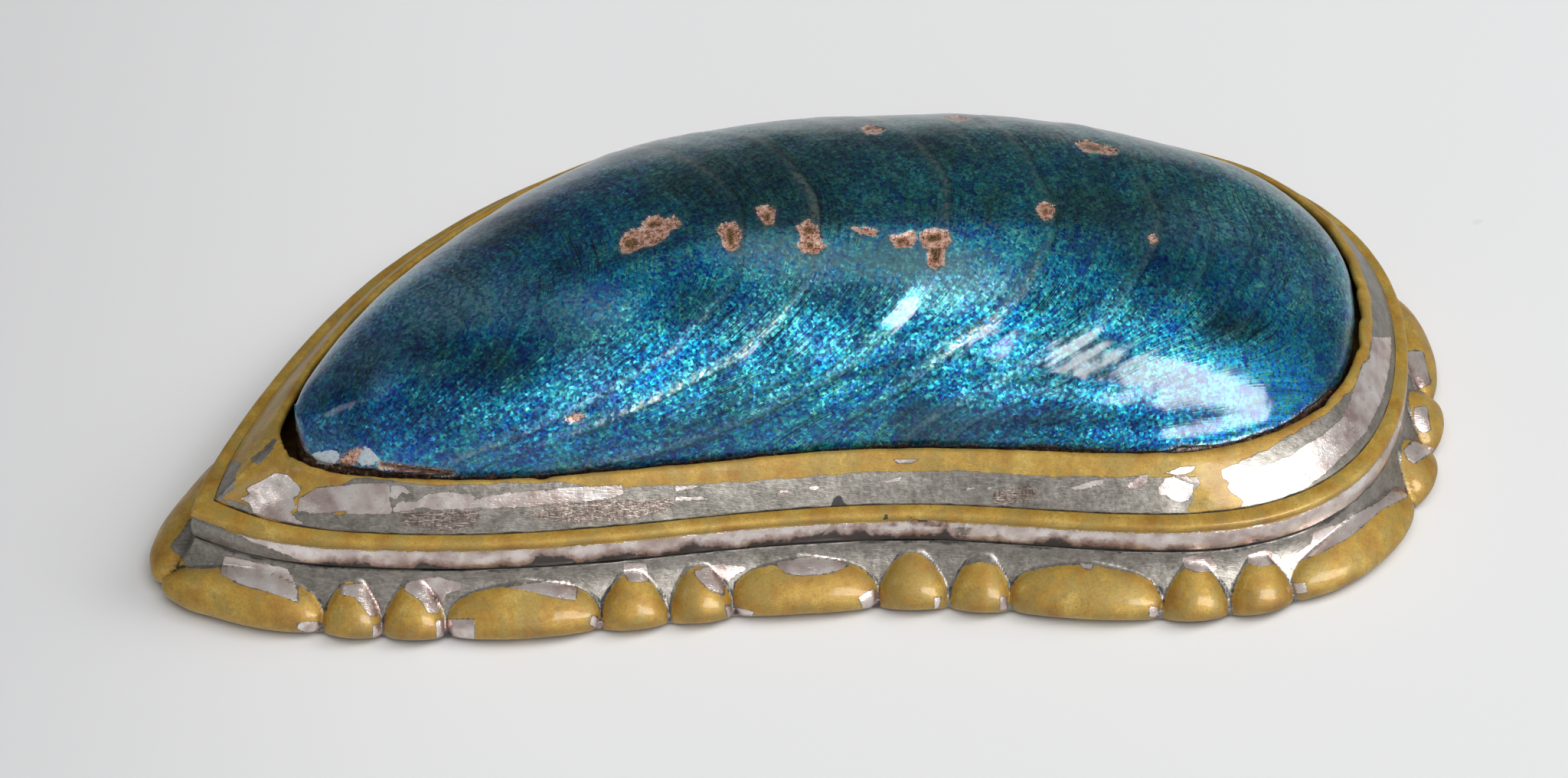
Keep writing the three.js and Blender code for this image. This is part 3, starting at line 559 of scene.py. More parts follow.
def plated_material(name="close_plate"):
    """Brass, then grey tin, then silver foil, each worn through in places."""
    t = Tree(name)
    n0, n1, n2, n3 = t.noise(0.33, 3.0), t.noise(0.9, 4.0), t.noise(3.6, 4.0, 0.6), t.noise(13.0, 3.0, 0.6)
    ragged = t.add(t.mul(t.sub(n1, 0.5), 0.26), t.add(t.mul(t.sub(n2, 0.5), 0.20), t.mul(t.sub(n3, 0.5), 0.06)))
    m_brass = t.step(t.add(t.attr("brass"), ragged), -0.015, 0.015)
    m_foil = t.step(t.add(t.attr("foil"), ragged), -0.012, 0.012)
    m_worn = t.step(t.add(t.attr("worn"), t.mul(ragged, 1.4)), -0.10, 0.12)
    # dark layer: dirt, and on the border painted shade between the lobes
    m_dirt_and_shade = t.step(t.add(t.attr("dirt_and_shade"), t.mul(ragged, 0.9)), -0.08, 0.03)
    m_stain = t.step(t.add(t.attr("dirt_and_shade"), t.mul(ragged, 0.9)), -0.26, -0.06)
    foil_edge = t.step(t.m("ABSOLUTE", t.add(t.attr("foil"), ragged)), 0.0, 0.05, 1.0, 0.0)
    brass_edge = t.step(t.m("ABSOLUTE", t.add(t.attr("brass"), ragged)), 0.0, 0.035, 1.0, 0.0)

    grey = t.ramp(t.add(t.mul(n1, 0.6), t.mul(n2, 0.4)), [(0.32, (0.145, 0.132, 0.112)), (0.5, (0.242, 0.222, 0.192)), (0.68, (0.35, 0.325, 0.29))])
    grey = t.mix(t.mul(t.step(t.noise(4.5, 4.0, 0.7), 0.58, 0.74), 0.35), grey, (0.12, 0.10, 0.085))
    grey = t.mix(t.mul(scratches(t, 9.0, 0.25), 0.30), grey, (0.52, 0.49, 0.45))
    soft = t.add(t.mul(n0, 0.55), t.mul(t.noise(0.8, 2.0, 0.4, warp=0.4), 0.45))
    silver = t.ramp(soft, [(0.36, (0.46, 0.34, 0.31)), (0.45, (0.64, 0.53, 0.49)), (0.55, (0.80, 0.71, 0.67)), (0.66, (0.92, 0.87, 0.84))])
    silver = t.mix(t.mul(t.step(t.noise(1.8, 4.0, 0.6), 0.56, 0.70), 0.40), silver, (0.34, 0.22, 0.19))
    streak = t.noise(1.0, 4.0, 0.65, vec=t.mapped(t.mm, (7.5, 2.2, 2.2), rot=(0, 0, 0.3)))
    worn_mix = t.step(t.add(t.mul(streak, 0.65), t.mul(t.noise(5.0, 4.0, 0.7), 0.35)), 0.42, 0.60)
    worn = t.mix(worn_mix, (0.10, 0.066, 0.050), (0.27, 0.20, 0.17))
    worn = t.mix(t.mul(scratches(t, 14.0, 1.2, 0.05), 0.75), worn, (0.80, 0.72, 0.66))

    color = t.mix(m_foil, grey, silver)
    color = t.mix(t.mul(t.mul(m_stain, m_foil), 0.72), color, (0.26, 0.13, 0.10))
    color = t.mix(t.mul(foil_edge, 0.45), color, (0.13, 0.085, 0.07))
    color = t.mix(m_brass, color, brass_tone(t))
    color = t.mix(t.mul(brass_edge, 0.40), color, (0.14, 0.10, 0.06))
    color = t.mix(t.mul(m_worn, 0.85), color, worn)
    color = t.mix(t.mul(m_dirt_and_shade, 0.95), color, (0.012, 0.009, 0.010))
    color = t.mix(t.mul(t.step(t.noise(2.1, 5.0, 0.7), 0.64, 0.80), 0.22), color, (0.07, 0.05, 0.04))

    rough = t.mixf(m_foil, t.mixf(n2, 0.34, 0.50), t.mixf(n2, 0.22, 0.36))
    rough = t.mixf(m_brass, rough, t.mixf(n2, 0.50, 0.62))
    rough = t.mixf(m_worn, rough, 0.40)
    rough = t.mixf(m_dirt_and_shade, rough, 0.6)
    metal = t.mixf(m_foil, 0.62, 0.70)
    metal = t.mixf(m_brass, metal, 0.26)
    metal = t.mixf(m_worn, metal, 0.8)
    metal = t.mixf(m_dirt_and_shade, metal, 0.0)
    height = t.add(t.mul(m_foil, 0.024), t.mul(t.sub(1.0, m_brass), 0.020))
    height = t.add(height, t.mul(n1, 0.035))
    height = t.add(height, t.mul(n2, t.mixf(m_foil, 0.007, 0.004)))
    height = t.add(height, t.mul(n3, t.mixf(m_worn, 0.0012, 0.010)))
    height = t.sub(height, t.mul(scratches(t, 7.0, 1.1), 0.003))
    height = t.sub(height, t.mul(scratches(t, 11.0, -0.5), 0.002))
    height = t.sub(height, t.mul(m_dirt_and_shade, 0.012))
    return t.finish(color, rough, metal, t.bump(height), Coat_Weight=0.28, Coat_Roughness=0.12, Coat_IOR=1.45)


def bare_brass_material(name="tray_brass", dark=0.0):
    """Satin brass with brush marks, brown patina and small spots."""
    t = Tree(name)
    n1, n2 = t.noise(0.35, 5.0, 0.6), t.noise(2.4, 4.0, 0.65)
    c = brass_tone(t)
    patina = t.step(t.add(t.mul(n1, 0.65), t.mul(n2, 0.35)), 0.5 - dark * 0.2, 0.68)
    c = t.mix(t.mul(patina, 0.6 + dark * 0.3), c, (0.12, 0.065, 0.028))
    c = t.mix(t.mul(t.step(t.noise(9.0, 2.0, 0.6), 0.66, 0.76), 0.7), c, (0.05, 0.03, 0.02))
    brushed = t.noise(1.0, 3.0, 0.6, vec=t.mapped(t.mm, (0.7, 14.0, 14.0), rot=(0, 0, 0.1)))
    rough = t.mixf(patina, t.mixf(brushed, 0.24, 0.4), 0.5)
    h = t.add(t.mul(brushed, 0.008), t.add(t.mul(n2, 0.02), t.mul(n1, 0.12)))
    h = t.sub(h, t.mul(scratches(t, 6.0, 0.7), 0.008))
    return t.finish(c, rough, 1.0, t.bump(h))


def steel_material(name="hinge_wire"):
    t = Tree(name)
    n1, n2 = t.noise(1.2, 4.0), t.noise(8.0, 3.0)
    c = t.mix(t.step(n1, 0.4, 0.65), (0.36, 0.34, 0.31), (0.14, 0.10, 0.075))
    turned = t.noise(1.0, 2.0, 0.5, vec=t.mapped(t.mm, (16.0, 1.0, 1.0)))
    return t.finish(c, t.mixf(n2, 0.28, 0.5), 1.0, t.bump(t.add(t.mul(turned, 0.008), t.mul(n2, 0.01))))


def enamel_material(name="blue_enamel"):
    """Translucent blue enamel over bright flakes, chipped to copper."""
    t = Tree(name)
    g, a = t.attr("growth"), t.attr("along")
    comb = t.nt.nodes.new("ShaderNodeCombineXYZ")
    t.put(comb.inputs[0], g)
    t.put(comb.inputs[1], a)
    lines = comb.outputs[0]

    def split(color):
        n = t.nt.nodes.new("ShaderNodeSeparateColor")
        t.put(n.inputs[0], color)
        return n.outputs

    # small flakes and a few larger grains
    cell = t.voronoi(4.4)
    grain = t.voronoi(6.5)
    big = t.voronoi(1.9)
    c1, c2, c3 = split(cell.outputs["Color"]), split(grain.outputs["Color"]), split(big.outputs["Color"])

    band = t.noise(1.0, 3.0, 0.6, vec=t.mapped(lines, (1.3, 0.14, 1.0)))
    hue = t.add(t.add(t.mul(c1[0], 0.24), t.mul(c2[0], 0.30)), t.add(t.mul(t.noise(0.45, 5.0, 0.65), 0.85), t.mul(t.sub(band, 0.5), 0.30)))
    hue = t.add(hue, t.attr("green"))
    flake = t.ramp(hue, [(0.30, (0.001, 0.024, 0.26)), (0.42, (0.001, 0.070, 0.36)), (0.52, (0.001, 0.140, 0.41)),
                         (0.62, (0.002, 0.225, 0.45)), (0.72, (0.006, 0.32, 0.47)), (0.82, (0.025, 0.43, 0.48)), (0.94, (0.12, 0.56, 0.50))])
    flake = t.mix(t.mul(t.step(c2[1], 0.90, 0.95), 0.35), flake, (0.24, 0.38, 0.14))
    flake = t.mix(t.mul(t.step(c2[2], 0.80, 0.90), 0.75), flake, (0.001, 0.030, 0.42))
    flake = t.mix(t.mul(t.step(c3[0], 0.84, 0.93), 0.5), flake, (0.002, 0.045, 0.34))

    # darker and lighter bands that follow the growth lines, and soft clouds
    streak = t.noise(1.0, 3.0, 0.6, vec=t.mapped(lines, (1.5, 0.16, 1.0), loc=(0.7, 0.2, 0)))
    cloud = t.noise(0.13, 3.0, 0.55, warp=0.6)
    level = t.add(t.mul(t.mixf(t.attr("calm"), 0.5, streak), 0.32), t.mul(cloud, 1.1))
    shade = t.step(level, 0.45, 0.98, 0.50, 1.25)
    shade = t.mul(shade, t.mixf(t.m("POWER", c1[1], 1.6), 0.66, 1.40))
    fine = t.noise(1.0, 2.0, 0.5, vec=t.mapped(lines, (5.5, 0.12, 1.0), loc=(3.1, 0.4, 0)))
    fine_line = t.step(t.m("ABSOLUTE", t.sub(fine, 0.5)), 0.0, 0.045, 1.0, 0.0)
    shade = t.mul(shade, t.sub(1.0, t.mul(fine_line, t.mul(t.mixf(t.attr("calm"), 0.6, 1.0), t.step(t.noise(0.22, 2.0, 0.5), 0.42, 0.62, 0.30, 0.85)))))
    shade = t.mul(shade, t.sub(1.0, t.mul(t.attr("deep"), 0.65)))
    # painted light and shade: flake brightness is scaled by the painted shading and painted glow attributes
    shade = t.mul(t.mul(shade, t.attr("painted_shading")), t.attr("painted_glow"))
    col = t.mix(1.0, flake, t.ramp(t.mul(shade, 0.5), [(0.0, (0, 0, 0)), (1.0, (2.0, 2.0, 2.0))]), "MULTIPLY")
    # painted sheen: pale teal mixed into the flakes where the painted shading is above 1
    sheen = t.m("MULTIPLY", t.m("MAXIMUM", t.sub(t.attr("painted_shading"), 1.0), 0.0), t.mixf(t.m("POWER", c1[1], 2.0), 0.14, 0.90))
    col = t.mix(t.m("MINIMUM", sheen, 0.7), col, (0.36, 0.66, 0.70))
    strand = t.noise(1.0, 2.0, 0.5, vec=t.mapped(lines, (7.0, 0.15, 1.0), loc=(9.3, 2.4, 0)))
    strand_line = t.step(t.m("ABSOLUTE", t.sub(strand, 0.52)), 0.0, 0.030, 1.0, 0.0)
    strand_line = t.mul(strand_line, t.mul(t.step(t.noise(0.30, 3.0, 0.6), 0.44, 0.60), t.step(t.attr("painted_shading"), 0.3, 1.2)))
    col = t.mix(t.mul(strand_line, 0.34), col, (0.16, 0.38, 0.42))
    broken = t.step(t.add(t.mul(t.noise(2.8, 4.0, 0.75), 0.65), t.mul(c1[2], 0.35)), 0.34, 0.66, 0.30, 1.0)
    pale = t.mul(t.attr("pale"), broken)
    col = t.mix(t.m("MINIMUM", pale, 0.82), col, t.mix(t.step(pale, 0.25, 0.75), (0.14, 0.30, 0.32), (0.37, 0.43, 0.38)))
    white = t.step(t.add(t.attr("white"), t.mul(t.sub(t.noise(3.2, 4.0, 0.6), 0.5), 0.5)), -0.03, 0.03)
    dull = t.mul(t.attr("wear"), t.step(t.add(t.mul(t.noise(3.4, 4.0, 0.75), 0.75), t.mul(c2[0], 0.25)), 0.46, 0.66))
    col = t.mix(t.mul(dull, 0.7), col, (0.40, 0.45, 0.40))
    pits = t.step(t.noise(3.0, 2.0, 0.5), 0.745, 0.76)
    col = t.mix(pits, col, (0.03, 0.03, 0.03))

    n1, n2, n3 = t.noise(1.3, 3.0), t.noise(3.2, 4.0, 0.6), t.noise(9.0, 4.0, 0.65)
    ragged = t.add(t.mul(t.sub(n2, 0.5), 0.46), t.mul(t.sub(n3, 0.5), 0.26))
    ragged = t.add(ragged, t.mul(t.sub(n1, 0.5), 0.2))
    field = t.add(t.attr("bare"), ragged)
    halo = t.mul(t.step(field, -0.30, -0.02), t.step(n3, 0.42, 0.6))
    col = t.mix(t.mul(halo, 0.6), col, (0.46, 0.46, 0.38))
    bare = t.step(field, -0.03, 0.03)
    copper = t.ramp(t.add(t.mul(n2, 0.5), t.mul(n3, 0.5)), [(0.39, (0.12, 0.045, 0.025)), (0.46, (0.42, 0.19, 0.11)), (0.53, (0.76, 0.45, 0.34)), (0.62, (0.90, 0.72, 0.64))])
    pit = t.step(t.add(t.attr("pit"), t.mul(ragged, 1.5)), -0.02, 0.10)
    copper = t.mix(pit, copper, t.ramp(n3, [(0.36, (0.030, 0.013, 0.008)), (0.50, (0.15, 0.075, 0.03)), (0.62, (0.40, 0.24, 0.10))]))
    edge = t.step(t.add(t.attr("rim"), t.mul(ragged, 0.7)), -0.05, 0.05)
    copper = t.mix(edge, copper, t.ramp(t.add(t.mul(n2, 0.55), t.mul(n3, 0.45)), [(0.38, (0.018, 0.012, 0.010)), (0.50, (0.075, 0.042, 0.030)), (0.58, (0.22, 0.13, 0.10)), (0.66, (0.62, 0.42, 0.34))]))
    col = t.mix(bare, col, copper)
    col = t.mix(t.mul(white, t.step(n3, 0.30, 0.55, 0.55, 1.0)), col, (0.60, 0.68, 0.74))

    # each flake lies at its own small angle under the smooth top coat
    def away(color):
        n = t.nt.nodes.new("ShaderNodeVectorMath")
        n.operation = "SUBTRACT"
        t.put(n.inputs[0], color)
        n.inputs[1].default_value = (0.5, 0.5, 0.5)
        return n.outputs[0]

    def scaled(vec, amount):
        n = t.nt.nodes.new("ShaderNodeVectorMath")
        n.operation = "SCALE"
        t.put(n.inputs[0], vec)
        t.put(n.inputs["Scale"], amount)
        return n.outputs[0]

    def plus(a, b):
        n = t.nt.nodes.new("ShaderNodeVectorMath")
        n.operation = "ADD"
        t.put(n.inputs[0], a)
        t.put(n.inputs[1], b)
        return n.outputs[0]

    surface = t.add(t.mul(fine, 0.003), t.mul(t.noise(0.5, 2.0, 0.4), 0.05))
    surface = t.sub(surface, t.mul(bare, 0.05))
    surface = t.add(surface, t.mul(t.mul(bare, n2), 0.07))
    coat_n = t.bump(surface)
    under = t.bump(t.add(surface, t.mul(t.mul(streak, t.attr("calm")), 0.05)))
    under = plus(under, scaled(away(cell.outputs["Color"]), t.mixf(bare, 0.19, 0.0)))
    under = plus(under, scaled(away(grain.outputs["Color"]), t.mixf(bare, 0.18, 0.0)))
    norm = t.nt.nodes.new("ShaderNodeVectorMath")
    norm.operation = "NORMALIZE"
    t.put(norm.inputs[0], under)
    rough = t.mixf(bare, t.mixf(n2, 0.40, 0.54), 0.42)
    metal = t.mul(t.mixf(bare, 0.96, 0.45), t.sub(1.0, t.mul(white, 0.7)))
    mat = t.finish(col, rough, metal, norm.outputs[0], Coat_Weight=1.0, Coat_Roughness=0.11, Coat_IOR=1.40)
    t.put(t.bsdf.inputs["Coat Normal"], coat_n)
    return mat


PLATE = plated_material()
TRAY = bare_brass_material()
TRAY_DARK = bare_brass_material("old_brass", 1.0)
WIRE = steel_material()
ENAMEL = enamel_material()

# -------------------------------------------------------------------- dome
RIDGE = np.array([
    (-33.0, -8.8, 0.0), (-32.5, -8.8, 1.6), (-31.5, -8.6, 2.8), (-30.0, -8.3, 3.9), (-28.0, -7.7, 5.0),
    (-25.0, -6.5, 6.25), (-21.0, -4.6, 7.6), (-16.0, -2.4, 9.0), (-10.0, -0.3, 10.2), (-4.0, 1.2, 10.9),
    (2.0, 2.0, 11.2), (8.0, 2.6, 11.2), (14.0, 3.1, 10.9), (20.0, 3.5, 10.2), (26.0, 3.9, 8.9),
    (31.0, 4.2, 7.0), (34.5, 4.35, 4.8), (36.5, 4.4, 3.1), (37.6, 4.4, 1.7), (38.1, 4.4, 0.0)])
ridge_y, ridge_h = pchip(RIDGE[:, 0], RIDGE[:, 1]), pchip(RIDGE[:, 0], RIDGE[:, 2])
RIM_Z, EDGE_P = 9.4, -3.5


def back_fullness(x):
    return np.interp(x, [-24, -12, -7, 24, 30], [2.85, 2.75, 2.42, 2.36, 2.42])


def rim_branches(p):
    """x of the left and right ends, and the front and back y as functions of x."""
    t = np.linspace(0, LENGTH, 6000, endpoint=False)
    c = plan(t, p)
    c = np.roll(c, -int(np.argmin(c[:, 0])), 0)
    k = int(np.argmax(c[:, 0]))
    f, b = c[:k + 1], np.vstack([c[k:], c[:1]])
    fx, bx = np.maximum.accumulate(f[:, 0]), np.maximum.accumulate(b[::-1, 0])
    return c[0], c[k], (lambda x: np.interp(x, fx, f[:, 1])), (lambda x: np.interp(x, bx, b[::-1, 1]))


# Growth lines: each is the margin of the younger shell. Their radius about the
# umbo shrinks towards the front margin by this table of y over the umbo.
UMBO = np.array([-31.5, -9.2])
SHRINK_Y = [-9, -6, -4.5, -3.5, -2.7, -2.2, -1.1, 0.4, 1.6, 2.5, 3.5, 4.7, 6.0, 8.0, 10.0, 13.0, 30.0]
SHRINK = [0.05, 0.10, 0.17, 0.25, 0.34, 0.437, 0.583, 0.715, 0.80, 0.84, 0.88, 0.92, 0.945, 0.967, 0.985, 1.0, 1.0]
shrink = pchip(SHRINK_Y, SHRINK)
# growth radius, strength of the step, strength of the pale line
RINGS = [(12.0, 0.25, 0.15), (16.5, 0.3, 0.15), (20.5, 0.35, 0.2), (24.5, 0.35, 0.25), (27.4, 0.4, 0.2), (30.6, 1.0, 0.85),
         (33.0, 0.35, 0.3), (35.5, 1.0, 1.0), (38.6, 0.35, 0.25), (41.0, 0.35, 0.35), (44.0, 0.9, 0.75), (47.2, 0.4, 0.3),
         (50.4, 1.0, 1.0), (53.6, 0.35, 0.25), (57.3, 0.9, 0.8), (59.3, 0.4, 0.3), (61.0, 0.7, 0.4), (63.4, 0.5, 0.3),
         (65.6, 0.5, 0.3), (67.6, 0.3, 0.12), (69.5, 0.3, 0.1), (73.0, 0.2, 0.1), (79.0, 0.15, 0.05), (88.0, 0.15, 0.05)]
CHIPS = [
    [(808, 322), (812, 309), (821, 300), (837, 297), (844, 284), (859, 280), (868, 286), (882, 282), (891, 293), (877, 302), (868, 313), (851, 322), (837, 324), (824, 331), (813, 331)],
    [(935, 300), (946, 292), (962, 291), (969, 302), (967, 322), (955, 330), (944, 322), (942, 309)],
    [(987, 273), (1002, 269), (1013, 275), (1011, 295), (1000, 296), (991, 284)],
    [(1040, 297), (1056, 288), (1069, 300), (1072, 313), (1080, 322), (1069, 333), (1051, 333), (1040, 322), (1047, 311)],
    [(1110, 297), (1127, 296), (1150, 300), (1141, 308), (1119, 304)],
    [(1161, 308), (1177, 304), (1194, 300), (1200, 311), (1188, 322), (1170, 324)],
    [(1202, 302), (1218, 297), (1238, 301), (1242, 315), (1233, 327), (1234, 345), (1222, 353), (1210, 346), (1213, 328), (1203, 318)],
    [(1354, 268), (1366, 263), (1377, 268), (1376, 284), (1364, 288), (1355, 280)],
    [(1498, 309), (1507, 305), (1514, 312), (1506, 320)],
    [(1124, 166), (1140, 163), (1156, 169), (1148, 176), (1130, 174)],
    [(1404, 186), (1420, 183), (1440, 190), (1462, 197), (1455, 204), (1430, 200), (1415, 199)],
    [(1228, 154), (1250, 151), (1268, 157), (1250, 161)],
    [(440, 608), (447, 597), (458, 590), (470, 585), (478, 588), (470, 596), (466, 606), (452, 612)],
    [(494, 603), (530, 608), (560, 611), (590, 616), (604, 624), (560, 620), (520, 615), (496, 611)],
    [(380, 560), (386, 556), (391, 572), (397, 586), (404, 596), (396, 600), (386, 588)],
    [(738, 548), (752, 540), (765, 542), (752, 552)],
]
PITS = [
    [(815, 314), (828, 308), (835, 316), (826, 324), (816, 322)], [(846, 290), (858, 286), (858, 294), (848, 297)], [(868, 292), (880, 290), (876, 298)],
    [(950, 298), (958, 297), (960, 316), (955, 324), (948, 312)], [(996, 280), (1006, 278), (1006, 290), (998, 289)],
    [(1046, 298), (1062, 294), (1064, 306), (1052, 306)], [(1055, 318), (1063, 317), (1062, 326), (1054, 325)],
    [(1170, 310), (1184, 308), (1182, 316), (1172, 318)], [(1208, 307), (1228, 303), (1232, 312), (1212, 316)],
    [(1216, 322), (1230, 322), (1228, 342), (1218, 344)], [(1361, 270), (1370, 269), (1369, 280), (1362, 279)],
    [(1410, 188), (1424, 187), (1442, 195), (1430, 197)], [(1233, 155), (1260, 155), (1248, 159)],
]


# the pale underlayer shows beside two chips at the tip
WHITE = [
    [(407, 594), (416, 590), (434, 589), (444, 592), (441, 602), (432, 609), (414, 607)],
    [(466, 603), (470, 592), (478, 583), (486, 587), (496, 600), (490, 606), (474, 608)],
]
# patches of painted light and shade on the enamel: centre, radii, change
PAINTED_SHADING_PATCHES = [
    (634, 462, 62, 34, -0.60), (600, 395, 80, 40, 0.90), (530, 535, 62, 30, -0.62), (575, 480, 52, 18, 0.4), (500, 512, 26, 34, 0.7), (735, 345, 16, 12, -0.5),
    (450, 450, 60, 60, 0.25), (690, 500, 60, 34, -0.10), (880, 345, 60, 36, -0.40), (880, 405, 44, 26, -0.40), (960, 250, 90, 40, -0.40), (700, 300, 70, 34, -0.35),
    (1605, 428, 74, 40, -0.90), (1590, 520, 100, 46, -0.60), (1560, 350, 60, 50, -0.25), (1700, 470, 50, 60, -0.15), (1690, 380, 60, 60, 0.35), (1570, 300, 80, 36, 0.80), (1470, 425, 40, 26, -0.10),
    (780, 400, 60, 26, 0.80), (770, 470, 60, 40, 0.15), (985, 325, 60, 24, 1.4), (1060, 345, 60, 26, 1.2),
    (1250, 365, 70, 34, 2.1), (1170, 335, 60, 24, 2.6), (1320, 420, 70, 34, -0.30), (1150, 470, 110, 30, 0.15), (1430, 470, 60, 30, -0.80), (1385, 450, 50, 26, -0.55),
    (1000, 420, 60, 40, 0.10), (1100, 545, 260, 18, -0.30), (1400, 560, 170, 16, -0.25), (1330, 500, 120, 18, -0.35), (1440, 512, 70, 12, 0.5),
    (1200, 215, 300, 40, -0.30), (640, 570, 110, 26, 0.05), (900, 560, 120, 24, -0.25), (420, 560, 40, 26, 0.2), (780, 520, 110, 24, 0.2),
]


def front_fullness(x, t):
    """Height share of the front flank, t = 1 at the rim; flatter at the right."""
    k = smooth(8, 27, x) * smooth(38, 33, x)
    return np.clip(1 - t ** (2.3 + 0.3 * k), 0, 1) ** (1 / 1.75 + 0.42 * k)


def dome():
    left, right, front, back = rim_branches(EDGE_P)
    n, m = 470, 200
    u = np.linspace(0, 1, n + 1)
    s = 0.5 - 0.5 * np.cos(math.pi * u)
    s = 0.72 * u + 0.28 * s
    s = np.where(u < 0.03, s * (u / 0.03) ** 0.6, np.where(u > 0.97, 1 - (1 - s) * ((1 - u) / 0.03) ** 0.6, s))
    left = left + (0.72, 0.0)                  # the tip is cut off blunt
    x = left[0] + (right[0] - left[0]) * s
    lo, hi = front(x), back(x)
    lo[-1] = hi[-1] = right[1]
    close = np.sqrt(np.clip(1 - (1 - np.clip((x - left[0]) / 0.8, 0, 1)) ** 2, 0, 1))
    mid = 0.5 * (lo + hi)
    lo, hi = mid + (lo - mid) * close, mid + (hi - mid) * close
    left = np.array([left[0], mid[0]])
    r = np.clip(ridge_y(x), lo + 0.1, np.maximum(hi - 0.1, lo + 0.11))
    w = np.linspace(0, 1, m + 1)
    wf = 0.52                                  # share of the rows on the front
    tf = (1 - np.clip(w / wf, 0, 1)) ** 1.0     # 1 at the rim, 0 on the ridge
    tf = 1 - (1 - tf) ** 1.35
    tb = np.clip((w - wf) / (1 - wf), 0, 1)
    Y = np.where(w[None] <= wf, r[:, None] - (r - lo)[:, None] * tf[None], r[:, None] + (hi - r)[:, None] * tb[None])
    Y[0], Y[-1] = left[1], right[1]
    Xc = np.broadcast_to(x[:, None], Y.shape)
    h = ridge_h(x)[:, None]
    keel = np.interp(x, [-22, -10, 0, 12, 24, 30], [0.0, 0.16, 0.26, 0.22, 0.10, 0.0])[:, None] * np.exp(-((tf - 0.19) / 0.12) ** 2)[None] * (w[None] <= wf)
    Z = np.where(w[None] <= wf, h * front_fullness(x[:, None], tf[None]), h * (1 - tb[None] ** back_fullness(x)[:, None])) + keel
    X = np.stack([Xc, Y, RIM_Z + Z], -1)

    # outward normals of the smooth dome
    du, dw = np.gradient(X, axis=0), np.gradient(X, axis=1)
    N = np.cross(du, dw)
    N /= np.maximum(np.linalg.norm(N, axis=-1, keepdims=True), 1e-9)
    N[0], N[-1] = (-1, 0, 0.2), (1, 0, 0.2)
    rim = np.minimum(np.minimum(w[None] * 99, (1 - w[None]) * 99), 99) * np.ones_like(Y)
    dist = np.minimum(np.minimum(np.hypot(Y - lo[:, None], Z), np.hypot(hi[:, None] - Y, Z)),
                      np.minimum(np.hypot(Xc - left[0], Z), np.hypot(right[0] - Xc, Z)))

    d = X[..., :2] - UMBO
    R = np.hypot(d[..., 0], d[..., 1])
    G = R / shrink(d[..., 1])
    G = np.where(G > 70, 70 + (1 - np.exp(-(G - 70) / 60)) * 45, G)
    wob = 0.35 * noise3(Xc / 6.0, Y / 6.0, 0, 5) + 0.12 * noise3(Xc / 1.6, Y / 1.6, 3, 6)
    G = G + wob
    A = np.arctan2(d[..., 1], d[..., 0]) * np.clip(R, 4, 60)
    # how many mm of surface one unit of growth takes
    gx, gw = np.gradient(G, axis=0), np.gradient(G, axis=1)
    lx, lw = np.linalg.norm(du, axis=-1), np.linalg.norm(dw, axis=-1)
    grad = np.sqrt((gx / np.maximum(lx, 1e-3)) ** 2 + (gw / np.maximum(lw, 1e-3)) ** 2)
    grad = np.clip(grad, 0.6, 12)

    H = np.zeros_like(Y)
    px = seen(X)
    pale, deep = np.zeros_like(Y), np.zeros_like(Y)
    for i, (g0, k, c) in enumerate(RINGS):
        e = (G - g0) / grad                     # mm from the line, + outside it
        along = 0.75 + 0.35 * noise3(A / 7.0, i * 3.7, 0, 31)
        H += 0.055 * k * along * np.where(e < 0, np.exp(-(e / 1.3) ** 2), np.exp(-(e / 0.30) ** 2))
        v = np.clip(0.7 + 0.7 * noise3(A / 3.5, i * 5.1, 1, 33), 0.1, 1.2) * (1 + 0.5 * smooth(370, 430, px[..., 1]))
        pale = np.maximum(pale, c * v * np.where(e < 0, 0.20 * np.exp(-(e / 0.20) ** 2) + (0.72 if c > 0.4 else 0.30) * np.exp(-(e / 0.62) ** 2), 0.86 * np.exp(-(e / 0.17) ** 2)))
        deep = np.maximum(deep, min(1.0, k) * 0.95 * np.exp(-((e - 0.26) / 0.13) ** 2))
    calm = np.clip(2.4 / grad, 0, 1)
    # fine growth threads everywhere, fainter where the growth lines crowd together
    th = noise3(G * 1.5, A / 26.0, 0, 41) * 0.6 + noise3(G * 3.1, A / 16.0, 0, 42) * 0.4
    H += 0.012 * th * np.clip(1.6 / grad, 0.1, 1.0)
    # broad furrows that run along the lower right of the front
    low = smooth(2.6, 0.9, Y - lo[:, None]) * smooth(2, 12, Xc) * smooth(36, 28, Xc)
    fur = np.sin(2 * math.pi * (Y - lo[:, None] - 0.055 * Xc) / 1.25 + 0.8 * noise3(Xc / 9, Y / 3, 0, 44))
    H += 0.07 * low * fur * smooth(0.0, 0.8, dist)
    deep = np.maximum(deep, low * smooth(-0.55, -0.95, fur) * 0.6)
    pale = pale * (1 - 0.38 * smooth(320, 400, px[..., 1]))
    pale = pale * (1 - 0.8 * np.exp(-(((px[..., 0] - 1640) / 90) ** 2 + ((px[..., 1] - 520) / 60) ** 2) ** 2))
